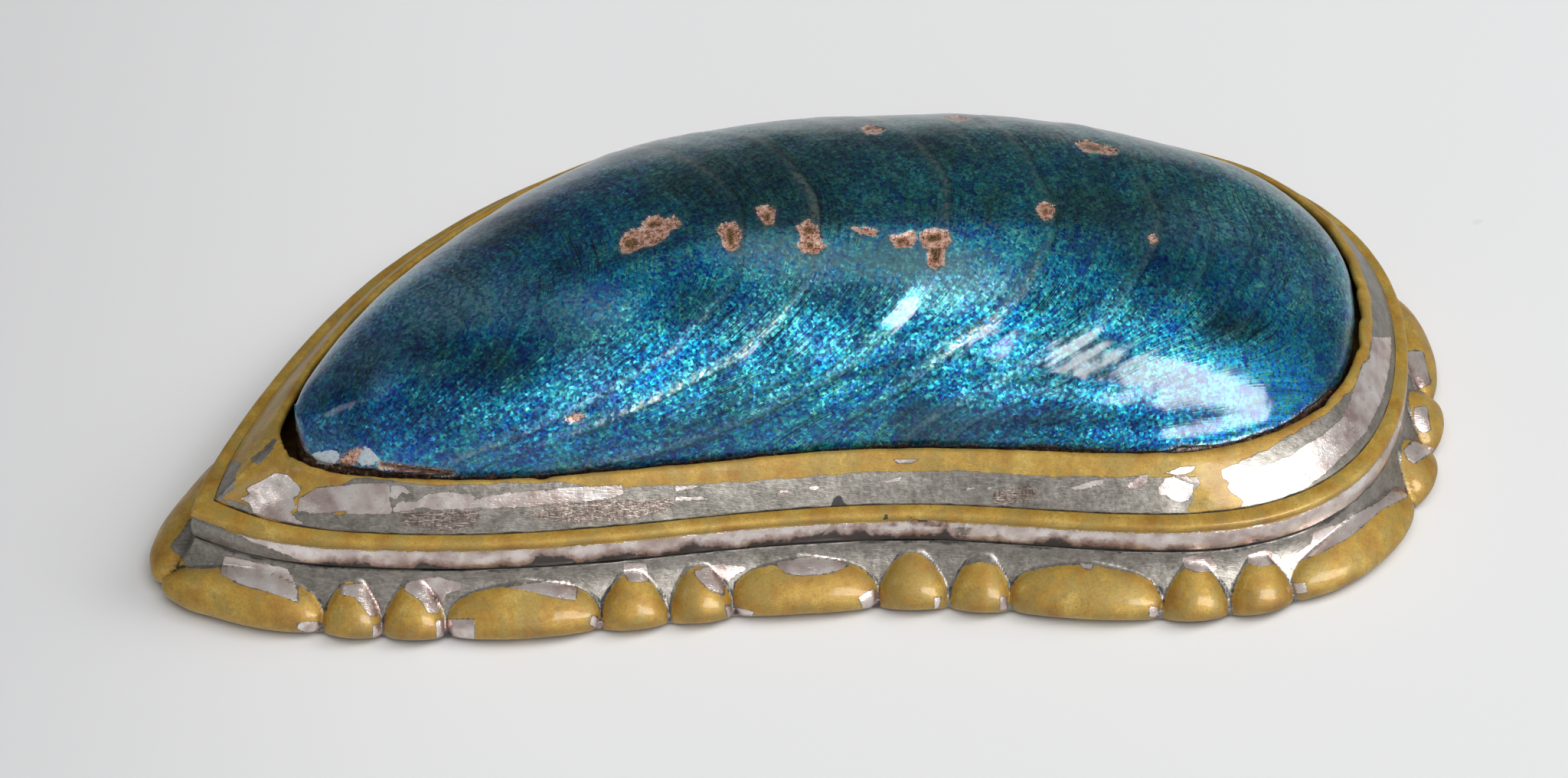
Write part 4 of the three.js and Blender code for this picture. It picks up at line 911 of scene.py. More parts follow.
    # hollow beside the umbo and slow dents of the raised sheet
    H -= 0.42 * np.exp(-(((px[..., 0] - 625) / 75) ** 2 + ((px[..., 1] - 470) / 38) ** 2))
    H += 0.16 * np.exp(-(((px[..., 0] - 530) / 60) ** 2 + ((px[..., 1] - 505) / 40) ** 2))
    ta, tb2 = (px[..., 0] - 1172) * 0.707 - (px[..., 1] - 412) * 0.707, (px[..., 0] - 1172) * 0.707 + (px[..., 1] - 412) * 0.707
    H += 0.31 * smooth(15, -15, tb2 + 0.0012 * ta * ta) * np.exp(-(np.minimum(tb2, 0) / 95) ** 2) * np.exp(-(ta / 58) ** 4) * np.clip(1 + 0.5 * ta / 58, 0.5, 1.6)
    flat_zone = np.exp(-(((px[..., 0] - 1590) / 120) ** 2 + ((px[..., 1] - 522) / 62) ** 2) ** 2)
    mean = (H * flat_zone * (1 - flat_zone)).sum() / (flat_zone * (1 - flat_zone)).sum()
    H = mean + (H - mean) * (1 - 0.92 * flat_zone)
    H += 0.10 * noise3(Xc / 7, Y / 5, 1, 45) + 0.035 * noise3(Xc / 2.2, Y / 2.2, 1, 46)

    toward = N @ np.array([0, -math.cos(EL), math.sin(EL)]) > 0.05
    flat = px.reshape(-1, 2)
    bare = np.full(flat.shape[0], -9.0)
    pit = np.full(flat.shape[0], -9.0)
    white = np.full(flat.shape[0], -9.0)
    for store, group in ((bare, CHIPS), (pit, PITS), (white, WHITE)):
        for poly in group:
            q = np.asarray(poly, float)
            idx = np.where(toward.ravel() & (np.abs(flat - q.mean(0)).max(1) < 140))[0]
            store[idx] = np.maximum(store[idx], inside_distance(flat[idx], q))
    bare, pit, white = bare.reshape(Y.shape), pit.reshape(Y.shape), white.reshape(Y.shape)
    low_chip = np.where((px[..., 1] > 596) & (px[..., 0] > 484) & (px[..., 0] < 620) & toward, bare - 0.10, -9.0)
    # a narrow strip of copper shows under the enamel's edge, and a few back chips
    strip = 0.30 + 0.16 * noise3(Xc / 2.4, Y / 2.4, 0, 51) + 0.12 * noise3(Xc / 0.7, Y / 0.7, 0, 52)
    strip = strip + 0.5 * np.exp(-((Xc + 28) / 3.2) ** 2) * (Y < -6) 
    rim_field = strip - dist
    bare = np.maximum(bare, rim_field)
    hid = ~toward
    back_chip = fbm(Xc / 2.1, Y / 2.1, 4, 53) - 0.78 - 0.3 * smooth(0, 6, hi[:, None] - Y)
    bare = np.where(hid, np.maximum(bare, back_chip), bare)
    H -= 0.13 * smooth(-0.02, 0.16, bare) * smooth(-0.1, 0.3, dist + 0.3)
    wear = 0.55 * np.exp(-((tf[None] - 0.22) / 0.09) ** 2) * smooth(-12, -4, Xc) * smooth(26, 12, Xc) * (w[None] <= wf)
    fade = smooth(0.0, 0.5, dist)
    # painted light and shade on the enamel: brighter and darker patches, darker towards the bottom, brighter at the
    # left, darker on the hidden side
    painted_shading = np.ones_like(Y)
    for cx, cy, rx, ry, k in PAINTED_SHADING_PATCHES:
        painted_shading = painted_shading * (1 + k * np.exp(-(((px[..., 0] - cx) / rx) ** 2 + ((px[..., 1] - cy) / ry) ** 2)))
    painted_shading = painted_shading * (1 - 0.12 * smooth(420, 500, px[..., 1]))
    # dark strands where the lower growth lines run together
    fold = Y - lo[:, None] - 0.055 * Xc
    painted_shading = painted_shading * (1 - 0.55 * np.exp(-((fold - 1.55 - 0.25 * noise3(Xc / 5, 0, 0, 47)) / 0.16) ** 2) * smooth(-2, 6, Xc) * smooth(34, 24, Xc))
    painted_shading = painted_shading * (1 - 0.45 * np.exp(-((fold - 2.75 - 0.35 * noise3(Xc / 6, 3, 0, 48)) / 0.14) ** 2) * smooth(4, 10, Xc) * smooth(26, 20, Xc))
    painted_shading = painted_shading * (1 + 0.14 * smooth(1000, 600, px[..., 0]))
    # painted shade: the side turned away from the viewer is darker
    painted_shading = np.where(toward, painted_shading, 0.7)
    # painted glow: the flakes are brightened along a band below the crest
    painted_glow = 1 + 1.0 * (smooth(0.13, 0.24, tf) * smooth(0.62, 0.36, tf))[None] * smooth(-16, -7, Xc) * smooth(25, 15, Xc) * (w[None] <= wf)
    green = 0.13 * smooth(330, 250, px[..., 1]) * smooth(760, 900, px[..., 0]) - 0.05 * smooth(480, 540, px[..., 1]) - 0.06 * smooth(1000, 600, px[..., 0])
    X = X + N * (H * (0.25 + 0.75 * fade))[..., None]
    X[..., 2] = np.maximum(X[..., 2], RIM_Z)

    # assemble: top grid with poles, rim wall, inside
    verts, faces = [], []
    top = X[1:-1]
    n1 = n - 1

    def grid_ids(base, cols):
        return base + np.arange(n1 * cols).reshape(n1, cols)
    ids = grid_ids(0, m + 1)
    verts.append(top.reshape(-1, 3))
    count = top.size // 3
    pl, pr = count, count + 1
    verts.append(np.array([[left[0], left[1], RIM_Z], [right[0], right[1], RIM_Z]]))
    count += 2
    faces.append(np.stack([ids[:-1, :-1], ids[1:, :-1], ids[1:, 1:], ids[:-1, 1:]], -1).reshape(-1, 4))
    tri = [np.stack([np.full(m, pl), ids[0, :-1], ids[0, 1:]], -1), np.stack([np.full(m, pr), ids[-1, 1:], ids[-1, :-1]], -1)]
    loop = np.r_[pl, ids[:, 0], pr, ids[::-1, -1]]          # counter-clockwise from the left
    rimxy = np.vstack([left, np.c_[x[1:-1], lo[1:-1]], right, np.c_[x[1:-1], hi[1:-1]][::-1]])
    L = len(loop)
    T = np.roll(rimxy, -1, 0) - np.roll(rimxy, 1, 0)
    T /= np.maximum(np.linalg.norm(T, axis=1, keepdims=True), 1e-9)
    inn = np.stack([-T[:, 1], T[:, 0]], 1)
    prev = loop
    for off, z in ((0.0, 9.15), (0.0, 8.6), (0.02, 8.12), (0.12, 8.0), (0.85, 8.0), (1.0, 8.1), (1.02, 8.9)):
        cur = count + np.arange(L)
        wav = 0.03 * noise3(rimxy[:, 0] / 1.5, rimxy[:, 1] / 1.5, z, 60)
        verts.append(np.c_[rimxy + inn * off, np.full(L, z) + (wav if 8.0 < z < 9 else 0)])
        faces.append(np.stack([prev, cur, np.roll(cur, -1), np.roll(prev, -1)], -1))
        count += L
        prev = cur
    # inside of the dome: 1 mm under the outside, coarser rows
    k = 26
    wi = np.linspace(0, 1, k + 2)[1:-1]
    base_in = rimxy + inn * 1.02
    fl, bl = base_in[1:n], base_in[n + 1:][::-1]
    xi = 0.5 * (fl[:, 0] + bl[:, 0])
    Xi = fl[:, None, :2] * (1 - wi[None, :, None]) + bl[:, None, :2] * wi[None, :, None]
    yy, yl, yh = Xi[..., 1], lo[1:-1][:, None], hi[1:-1][:, None]
    rr = r[1:-1][:, None]
    ts = np.where(yy < rr, (rr - yy) / np.maximum(rr - yl, 0.1), (yy - rr) / np.maximum(yh - rr, 0.1))
    ts = np.clip(ts, 0, 1)
    hh = np.where(yy < rr, front_fullness(x[1:-1][:, None], ts), 1 - ts ** back_fullness(x[1:-1])[:, None]) * ridge_h(x[1:-1])[:, None]
    zi = np.maximum(8.9, RIM_Z - 0.5 + hh * 0.91) + 0.06 * noise3(Xi[..., 0] / 3, yy / 3, 0, 62)
    Vi = np.concatenate([Xi, zi[..., None]], -1)
    gi = count + np.arange(n1 * k).reshape(n1, k)
    verts.append(Vi.reshape(-1, 3))
    count += n1 * k
    full = np.concatenate([prev[1:n][:, None], gi, prev[n + 1:][::-1][:, None]], 1)
    faces.append(np.stack([full[:-1, :-1], full[:-1, 1:], full[1:, 1:], full[1:, :-1]], -1).reshape(-1, 4))
    kk = full.shape[1] - 1
    tri += [np.stack([np.full(kk, prev[0]), full[0, 1:], full[0, :-1]], -1), np.stack([np.full(kk, prev[n]), full[-1, :-1], full[-1, 1:]], -1)]
    V = np.vstack(verts)
    extra = len(V) - n1 * (m + 1)

    def field(a, rest):
        return np.r_[a[1:-1].ravel(), np.full(extra, rest)]
    attrs = {"growth": field(G, 0.0), "along": field(A, 0.0), "pale": field(pale, 0.0), "deep": field(deep, 0.0),
             "bare": field(bare, 3.0), "pit": field(pit, -3.0), "rim": field(np.maximum(np.where(hid, rim_field + 0.3, rim_field + 0.12), low_chip), 3.0),
             "wear": field(wear * np.ones_like(Y), 0.0), "painted_shading": field(painted_shading, 1.0), "green": field(green, 0.0),
             "white": field(white, -9.0), "calm": field(calm, 1.0), "painted_glow": field(painted_glow, 1.0)}
    make_mesh("shell_enamelled", V, faces + tri, attrs, ENAMEL, "cover", ("enamelled_shell",))


# -------------------------------------------------------------------- rings
def stops(n):
    return np.arange(n) * LENGTH / n


def view_side(X):
    """True where the ring faces the viewer."""
    N = grid_normals(X)
    return (N @ np.array([0, -math.cos(EL), math.sin(EL)]) > -0.15)


def ring_side(T):
    return ((T < 118) | (T > 194))[:, None]


def collar():
    T = stops(1400)
    outer = resample(chaikin([(-0.72, 6.80), (-0.80, 6.95), (-1.02, 7.3), (-1.36, 7.85), (-1.74, 8.42), (-2.12, 8.98), (-2.44, 9.42),
                              (-2.68, 9.70), (-2.86, 9.86), (-3.02, 9.90), (-3.16, 9.86), (-3.25, 9.72), (-3.24, 9.5)], 2), 34)
    inner = resample([(-3.17, 9.2), (-2.7, 8.55), (-2.2, 7.85), (-1.75, 7.2), (-1.46, 6.80)], 8)
    foot = resample([(-1.35, 6.78), (-0.95, 6.78)], 3)
    prof = np.vstack([outer, inner, foot])
    k = len(prof)
    P, Z = np.tile(prof[:, 0], (len(T), 1)), np.tile(prof[:, 1], (len(T), 1))
    # the lip's edge was filed by hand and is nicked at the right
    q = np.zeros(k)
    q[:34] = np.linspace(0, 1, 34)
    q[34:42] = np.linspace(0.95, 0, 8)
    lipw = smooth(0.72, 1.0, q)[None]
    uneven = 0.10 * ringnoise(T, 0, 2.4, 71)[:, None] + 0.05 * ringnoise(T, 4, 0.7, 72)[:, None]
    nick = np.zeros(len(T))
    rs = np.random.RandomState(SEED)
    for s0, w0, d0 in [(87.5, 0.7, 0.30), (91.0, 0.9, 0.34), (94.2, 0.6, 0.28), (97.5, 1.0, 0.25), (102.0, 0.8, 0.3), (79.5, 0.5, 0.12),
                       (23.6, 0.5, 0.16), (4.0, 0.9, 0.14), (190, 1.4, 0.2), (160, 1.0, 0.16), (141, 0.8, 0.2), (120, 1.2, 0.2)]:
        nick = np.maximum(nick, d0 * np.exp(-np.abs((T - s0) / w0) ** 2.5))
    drop = (nick[:, None] - np.minimum(uneven, 0.09) + 0.03) * lipw
    Z = Z - np.clip(drop, 0, 0.5) * 0.9
    P = P + np.clip(drop, 0, 0.5) * 0.55
    X = lift(T, P, Z)
    N = grid_normals(X)
    body = (q > 0.02) & (np.arange(k) < 34)
    H = (0.055 * ringnoise(T[:, None], q[None] * 4.2, 5.0, 73) + 0.022 * ringnoise(T[:, None], q[None] * 4.2, 1.3, 74)) * body[None]
    # dents of the left corner
    px = seen(X)
    for cx, cy, r, d in ((352, 640, 16, 0.10), (395, 655, 20, 0.14), (330, 655, 12, 0.07), (418, 668, 14, -0.06), (372, 676, 16, 0.06), (1545, 655, 22, 0.08), (1600, 652, 26, -0.05), (885, 668, 24, 0.05), (1330, 640, 18, 0.05), (1700, 610, 18, 0.05)):
        H = H - d * np.exp(-((px[..., 0] - cx) ** 2 + (px[..., 1] - cy) ** 2) / (2.0 * (r * 0.6) ** 2)) * body[None]
    X = X + N * H[..., None]
    # layers: brass along the lip, grey tin below it
    side = ring_side(T)
    lip_w = np.interp(T, [0, 5, 8, 11, 24, 28, 34, 66, 70, 74, 80, 92, 100, 110, 118, 150, 178, 186, 203], [1.5, 1.3, 0.7, 0.17, 0.19, 0.36, 0.48, 0.47, 0.30, 0.22, 0.24, 0.32, 0.26, 0.2, 0.4, 0.35, 0.4, 1.5, 1.5])
    lip_w = lip_w[:, None] + 0.05 * ringnoise(T[:, None], 0, 3.0, 75)
    c = 1 - q[None]
    brass = (lip_w - c) * 3.9
    foil_back = (fbm(T[:, None] / 6.0, q[None] * 1.6, 2, 76) - 0.12) * 1.5
    foil = np.where(side, -1.2 + 0 * c, foil_back - smooth(0.4, 1.2, brass) * 3)
    worn = np.full(P.shape, -1.5)
    dirt_and_shade = np.where(c > 0.95, (c - 0.99) * 4.0, -0.35 - 0 * c) + 0 * T[:, None]
    base = {"brass": brass, "foil": foil, "worn": worn, "dirt_and_shade": dirt_and_shade, "tin": -brass}
    fields = patch_fields(X, base, view_side(X) & side)
    fields["dirt_and_shade"] = fields["dirt_and_shade"] + 0.12 * ringnoise(T[:, None], q[None] * 4, 0.9, 77)
    inside = (np.arange(k) >= 34)[None]
    fields["brass"] = np.where(inside, 1.0, fields["brass"])
    fields["foil"] = np.where(inside, -1.0, fields["foil"])
    fields["dirt_and_shade"] = np.where(inside, 0.03 + 0.3 * ringnoise(T[:, None], q[None] * 4, 2.0, 78), fields["dirt_and_shade"])
    ring("collar_plated", X, fields, PLATE, "cover", ("bezel_collar",))


def cover_band():
    T = stops(1400)
    face = chaikin([(-0.30, 4.23), (-0.06, 4.24), (0.07, 4.36), (0.14, 4.74), (0.17, 5.20), (0.14, 5.60), (0.06, 5.90), (-0.03, 6.05)], 2)
    bead = chaikin([(-0.02, 6.06), (0.09, 6.10), (0.13, 6.24), (0.10, 6.42), (0.0, 6.58), (-0.16, 6.68), (-0.36, 6.75), (-0.60, 6.79), (-0.84, 6.80)], 2)
    face, bead = resample(face, 20), resample(bead, 20)
    rest = resample([(-0.95, 6.76), (-1.1, 6.69), (-2.6, 6.69)], 5).tolist() + [(-2.6, 5.7), (-2.6, 4.32)] + resample([(-2.4, 4.3), (-0.55, 4.3)], 5).tolist()
    prof = np.vstack([face, bead, rest])
    k = len(prof)
    P, Z = np.tile(prof[:, 0], (len(T), 1)), np.tile(prof[:, 1], (len(T), 1))
    X = lift(T, P, Z)
    N = grid_normals(X)
    v = np.zeros(k)
    v[:20] = np.linspace(0, 1, 20)
    v[20:40] = np.linspace(1.02, 2, 20)
    v[40:] = 3
    vis = (np.arange(k) < 40)[None]
    H = (0.035 * ringnoise(T[:, None], v[None] * 1.6, 6.0, 81) + 0.014 * ringnoise(T[:, None], v[None] * 1.6, 1.2, 82)) * vis
    # chatter along the bottom edge of the band
    H = H - 0.03 * np.clip(ringnoise(T[:, None], 9, 0.6, 83), 0, 1) * smooth(0.28, 0.02, v)[None] * vis
    X = X + N * H[..., None]
    # room for the joint plate let into the underside
    zone = (X[..., 0] > HX0 - 0.3) & (X[..., 0] < HX1 + 0.3) & (X[..., 1] > 23.9)
    X[..., 2] = np.where(zone, np.maximum(X[..., 2], 5.1), X[..., 2])
    side = ring_side(T)
    brass = np.where(v[None] > 0.7, (v[None] - 0.93) * 1.9, -0.35) + 0 * P
    brass = brass + 0.07 * ringnoise(T[:, None], v[None] * 1.6, 2.6, 84)
    foil = 0.5 - np.abs(v[None] - 0.62) * 0.55 + 0.55 * ringnoise(T[:, None], v[None] * 1.6, 4.0, 85)
    foil = np.where(v[None] > 1.0, -0.5, foil + 0.25)
    # tarnish: black run along the foot of the band, heaviest at the middle right
    heavy = np.interp(T, [0, 4, 12, 28, 38, 46, 50, 54, 60, 66, 74, 84, 100, 118, 203], [-.5, -.2, .06, .16, .10, .06, .02, .0, .0, -.05, -.15, -.05, -.1, -.1, -.3])
    blot = fbm(T / 2.6, 1.0, 0, 86) * 0.22 + fbm(T / 0.7, 1.0, 3, 87) * 0.10
    dirt_and_shade = (heavy + blot)[:, None] + 0.12 - v[None] * 0.62
    crease = -0.05 - np.abs(v[None] - 1.0) * 2.2
    dirt_and_shade = np.where(v[None] <= 1.25, np.maximum(dirt_and_shade, crease + 0.10 * ringnoise(T[:, None], 2, 1.4, 88)), -0.35)
    # dark scribbles over the bead at the middle right
    dirt_and_shade = np.maximum(dirt_and_shade, np.where((v[None] > 0.75) & (v[None] < 1.8), (0.42 * ringnoise(T[:, None], v[None] * 2.2, 0.55, 89) - 0.12 - 0.5 * smooth(3.0, 6.5, np.abs(T - 47))[:, None]) - 0.35 * np.abs(v[None] - 1.0), -1))
    foot = np.where(v[None] > 2.5, -0.10 + 0.35 * ringnoise(T[:, None], prof[None, :, 0] * 1.2, 4.0, 91), np.where(v[None] > 1.95, (v[None] - 1.99) * 1.5, -1))
    dirt_and_shade = np.maximum(dirt_and_shade, foot)
    base = {"brass": brass, "foil": foil, "worn": np.full(P.shape, -1.5), "dirt_and_shade": dirt_and_shade, "tin": -brass}
    X2 = X.copy()
    fields = patch_fields(X2, base, view_side(X) & side & (v[None] <= 1.0) & ((T < 16) | (T > 197))[:, None])
    fields["worn"] = np.maximum(fields["worn"], np.where(v[None] < 0.8, -0.30 + 0.6 * ringnoise(T[:, None], v[None] * 1.6, 2.2, 90), -1.5))
    ring("cover_band_plated", X, fields, PLATE, "cover", ("cover_frame",))


GROOVE = [(-0.01, 4.09), (0.05, 3.90), (0.13, 3.55), (0.27, 3.2), (0.48, 2.82), (0.78, 2.4), (1.1, 1.95), (1.42, 1.5), (1.75, 1.0), (2.0, 0.6), (2.12, 0.3), (2.06, 0.07)]
FULL = [(-0.01, 4.09), (0.05, 3.90), (0.16, 3.62), (0.36, 3.38), (0.75, 3.15), (1.3, 2.88), (1.95, 2.45), (2.5, 1.88), (2.82, 1.35), (2.9, 0.92), (2.75, 0.42), (2.35, 0.08)]
LOW = [(-0.01, 4.09), (0.04, 3.90), (0.14, 3.5), (0.3, 3.15), (0.6, 2.8), (1.1, 2.6), (1.7, 2.4), (2.25, 2.1), (2.68, 1.65), (2.86, 1.1), (2.7, 0.5), (2.3, 0.08)]


def border():
    n = 1500
    T = stops(n)
    K = 44
    gro, ful, low = [resample(chaikin(p, 2), K) for p in (GROOVE, FULL, LOW)]
    v = np.linspace(0, 1, K)
    b = np.zeros((n, K))
    gap = np.full((n, K), 1.0)
    edges = np.array(LOBES)
    rs = np.random.RandomState(SEED + 3)
    for s0, s1 in zip(edges[:-1], edges[1:]):
        w = s1 - s0
        longer = w > 7
        mid, half = 0.5 * (s0 + s1) + rs.uniform(-0.08, 0.08) * (1 if longer else 0.6), 0.5 * w
        j = (T >= s0) & (T < s1)
        u = (T[j] - mid) / half
        if longer:
            W = np.interp(v, [0, 0.18, 0.25, 0.32, 0.42, 0.54, 0.67, 0.8, 0.92, 1.0], [0.02, 0.10, 0.42, 0.66, 0.83, 0.94, 1.0, 1.0, 0.95, 0.90])
            pw, fl = 2.6, 0.50
        else:
            W = np.interp(v, [0, 0.12, 0.2, 0.3, 0.42, 0.56, 0.7, 0.85, 1.0], [0.10, 0.26, 0.36, 0.49, 0.66, 0.83, 0.94, 0.97, 0.93])
            W = W * rs.uniform(0.95, 1.0)
            pw, fl = 2.2, 0.56
        skew = rs.uniform(-0.06, 0.06)
        uu = u[:, None] - skew * (1 - v[None])
        r = np.clip(np.abs(uu) / W[None], 0, 1)
        power = np.full_like(uu, pw)
        if s0 == edges[0]:
            power = np.where(uu < 0, 7.0, pw)
        if s1 == edges[-1]:
            power = np.where(uu > 0, 7.0, pw)
        bump = (1 - r ** power) ** fl
        top = smooth(0.12, 0.27, v) if longer else smooth(0.10, 0.24, v)
        b[j] = np.maximum(b[j], bump * top[None])
        gap[j] = (1 - np.abs(uu) / W[None]) * half
    zone = smooth(124.5, 126.5, T) * smooth(149.5, 147.5, T)
    tgt = ful[None] * (1 - zone[:, None, None]) + low[None] * zone[:, None, None]
    side_prof = gro[None] + (tgt - gro[None]) * b[..., None]
    hidden = np.vstack([[(2.0, 0.06), (2.0, 0.4)], resample([(1.96, 0.70), (-2.6, 0.70)], 6), [(-2.6, 2.5)], resample([(-2.6, 4.1), (-0.32, 4.1)], 5), [(-0.16, 4.105), (-0.06, 4.105)]])
    hid = np.broadcast_to(hidden[None], (n, len(hidden), 2))
    prof = np.concatenate([side_prof, hid], 1)
    X = lift(T, prof[..., 0], prof[..., 1])
    N = grid_normals(X)
    vis = np.zeros(X.shape[1])
    vis[:K] = 1
    v2 = np.r_[v, np.full(len(hidden), 1.1)]
    H = (0.04 * ringnoise(T[:, None], v2[None] * 5, 3.2, 101) + 0.016 * ringnoise(T[:, None], v2[None] * 5, 0.9, 102)) * vis[None]
    # tool marks run down the flare and the grooves
    bb = np.concatenate([b, np.zeros((n, len(hidden)))], 1)
    H = H - 0.02 * np.clip(ringnoise(T[:, None], 3, 0.45, 103), 0, 1) * (1 - bb) * vis[None]
    # the joint between a lobe and the flare was chased in with a punch
    gg = np.concatenate([gap, np.full((n, len(hidden)), -2.0)], 1)
    H = H - 0.006 * np.exp(-((gg + 0.02) / 0.14) ** 2) * smooth(0.12, 0.3, v2)[None] * vis[None]
    X = X + N * H[..., None]
    zone = (X[..., 0] > HX0 - 0.3) & (X[..., 0] < HX1 + 0.3) & (X[..., 1] > 23.9)
    X[..., 2] = np.where(zone, np.minimum(X[..., 2], 3.3), X[..., 2])
    X[..., 2] = np.maximum(X[..., 2], 0.04)

    side = ring_side(T)
    brass = np.maximum(np.minimum(bb * 1.1 + 0.03, gg * 1.6 + 0.18), -0.4) - smooth(0.34, 0.20, v2)[None] * 0.6
    brass = brass + 0.20 * ringnoise(T[:, None], v2[None] * 5, 1.8, 104)
    foil = 0.30 * fbm(T[:, None] / 2.2, v2[None] * 2.2, 1, 105) - 0.22 - np.clip(brass, 0, 2) * 0.8
    foil = np.maximum(foil, -0.03 - np.abs(brass + 0.12) * 1.1 + 0.42 * ringnoise(T[:, None], v2[None] * 5, 1.7, 106) - 0.08 + 0.10 * smooth(0.70, 0.9, v2)[None])
    foil = np.where(gg > 0.03, foil, np.minimum(foil, -0.25 + 0.30 * fbm(T[:, None] / 2.2, v2[None] * 2.2, 1, 105)))
    foil = np.where(side, foil - 0.05, foil + 0.12)
    # dark layer: a line of dirt at each lobe's outline, painted shade on the walls between the lobes, darker at the top
    # under the band and at the bottom under the lobes
    dirt_and_shade = np.maximum(0.10 - np.abs(gg + 0.11) * 0.8 - 0.10 * (1 - smooth(0.2, 0.7, v2))[None], (0.05 - v2[None]) * 1.6)
    # painted shade: a wider dark band on the walls between the lobes
    dirt_and_shade = np.maximum(dirt_and_shade, 0.09 - np.abs(gg + 0.24) * 0.45 - smooth(0.22, 0.12, v2)[None] * 0.3)
    dirt_and_shade = np.maximum(dirt_and_shade, (v2[None] - 0.955) * 2.4) + 0.12 * ringnoise(T[:, None], v2[None] * 5, 0.9, 107) - 0.10
    dirt_and_shade = np.where(vis[None] > 0, dirt_and_shade, -0.08 + 0.35 * ringnoise(T[:, None], prof[..., 0] * 1.2, 4.0, 108))
    base = {"brass": brass, "foil": foil, "worn": np.full(brass.shape, -1.5), "dirt_and_shade": dirt_and_shade, "tin": -brass}
    fields = patch_fields(X, base, view_side(X) & side & (vis[None] > 0), 1.2)
    ring("border_lobed", X, fields, PLATE, "base", ("base_border",))


def plain_ring(name, prof, n, material, body, nodes, wob=0.02, scale=3.0, seed=120, cut=None):
    T = stops(n)
    prof = np.asarray(prof, float)
    X = lift(T, prof[:, 0], prof[:, 1])
    q = np.r_[0, np.cumsum(np.linalg.norm(np.diff(prof, axis=0), axis=1))]
    X = X + grid_normals(X) * (wob * ringnoise(T[:, None], q[None], scale, seed))[..., None]
    if cut:
        X = cut(X)
    ring(name, X, {}, material, body, nodes)


def plate():
    n = 900
    T = stops(n)
    rows = [(-2.3, 0.6), (-0.5, 0.6), (1.3, 0.6), (1.68, 0.585), (1.79, 0.54), (1.84, 0.46), (1.85, 0.3), (1.84, 0.14), (1.79, 0.06), (1.68, 0.015), (1.3, 0.0), (-0.5, 0.0), (-2.3, 0.0)]
    X = np.stack([np.c_[plan(T, p), np.full(n, z)] for p, z in rows], 1)
    edge = smooth(0.8, 1.7, np.array([p for p, _ in rows]))
    wob = 0.05 * ringnoise(T, 1, 4.0, 131) + 0.02 * ringnoise(T, 1, 0.8, 132)
    d = X[:, 6, :2] - X[:, 2, :2]
    d /= np.linalg.norm(d, axis=1, keepdims=True)
    X[..., :2] += d[:, None] * np.minimum(wob, 0.02)[:, None, None] * edge[None, :, None]
    k = len(rows)
    verts, faces, count = [X.reshape(-1, 3)], [], n * k
    ids = np.arange(n * k).reshape(n, k)
    a, b = ids, np.roll(ids, -1, 0)
    faces.append(np.stack([a[:, :-1], a[:, 1:], b[:, 1:], b[:, :-1]], -1).reshape(-1, 4))
    # top and bottom skins close in towards a line along the middle
    for rim, z, flip in ((ids[:, 0], 0.6, False), (ids[:, -1], 0.0, True)):
        prev = rim
        edge_xy = X.reshape(-1, 3)[rim][:, :2]
        cx = np.clip(3 + (edge_xy[:, 0] - 3) * 0.7, -26, 30)
        c = np.stack([cx, ridge_y(cx)], 1)
        for r in (0.93, 0.85, 0.76, 0.67, 0.58, 0.48, 0.38, 0.28, 0.18, 0.08):
            cur = count + np.arange(n)
            xy = c + (edge_xy - c) * r
            zz = z + (0.05 * noise3(xy[:, 0] / 9, xy[:, 1] / 9, 0, 133) - 0.05 if z else 0.02 * np.abs(noise3(xy[:, 0] / 9, xy[:, 1] / 9, 0, 134)))
            verts.append(np.c_[xy, np.broadcast_to(zz, n)])
            q = np.stack([prev, np.roll(prev, -1), np.roll(cur, -1), cur], -1)
            faces.append(q[:, ::-1] if flip else q)
            count += n
            prev = cur
        verts.append(np.array([[2.0, 3.0, z if not z else z - 0.05]]))
        tri = np.stack([prev, np.roll(prev, -1), np.full(n, count)], -1)
        faces.append(tri[:, ::-1] if flip else tri)
        count += 1
    make_mesh("tray_plate", np.vstack(verts), faces, {}, TRAY, "base", ("base_plate",))


def bar(name, x0, x1, y0, y1, z0, z1, body, node):
    """Joint plate: a strip with softened, slightly worn edges."""
    c = 0.07
    sec = [(y0, z0 + c), (y0 + 0.02, z0 + 0.02), (y0 + c, z0), (y1 - c, z0), (y1 - 0.02, z0 + 0.02), (y1, z0 + c), (y1, z1 - c), (y1 - 0.02, z1 - 0.02), (y1 - c, z1), (y0 + c, z1), (y0 + 0.02, z1 - 0.02), (y0, z1 - c)]
    xs = np.r_[x0, x0 + 0.03, x0 + c, np.linspace(x0 + 0.3, x1 - 0.3, 60), x1 - c, x1 - 0.03, x1]
    V, cy, cz = [], 0.5 * (y0 + y1), 0.5 * (z0 + z1)
    for x in xs:
        e = max(0.0, 1 - min(x - x0, x1 - x) / c)
        s = 1 - math.sqrt(max(0.0, 1 - e * e))
        for y, z in sec:
            w = 0.012 * float(noise3(x / 1.3, y, z, 140)) * (1 - s)
            V.append((x, y + (cy - y) * s * c / (cy - y0) - abs(w) * np.sign(y - cy), z + (cz - z) * s * c / (cz - z0) - abs(w) * np.sign(z - cz)))
    k, n = len(sec), len(xs)
    ids = np.arange(n * k).reshape(n, k)
    a, b = ids[:-1], ids[1:]
    q = np.stack([a, np.roll(a, -1, 1), np.roll(b, -1, 1), b], -1).reshape(-1, 4)
    V = np.array(V)
    V = np.vstack([V, [[x0, cy, cz], [x1, cy, cz]]])
    e0 = np.stack([ids[0], np.full(k, n * k), np.roll(ids[0], -1)], -1)
    e1 = np.stack([ids[-1], np.roll(ids[-1], -1), np.full(k, n * k + 1)], -1)
    make_mesh(name, V, orient(V, [q, e0, e1]), {}, TRAY_DARK, body, (node,))


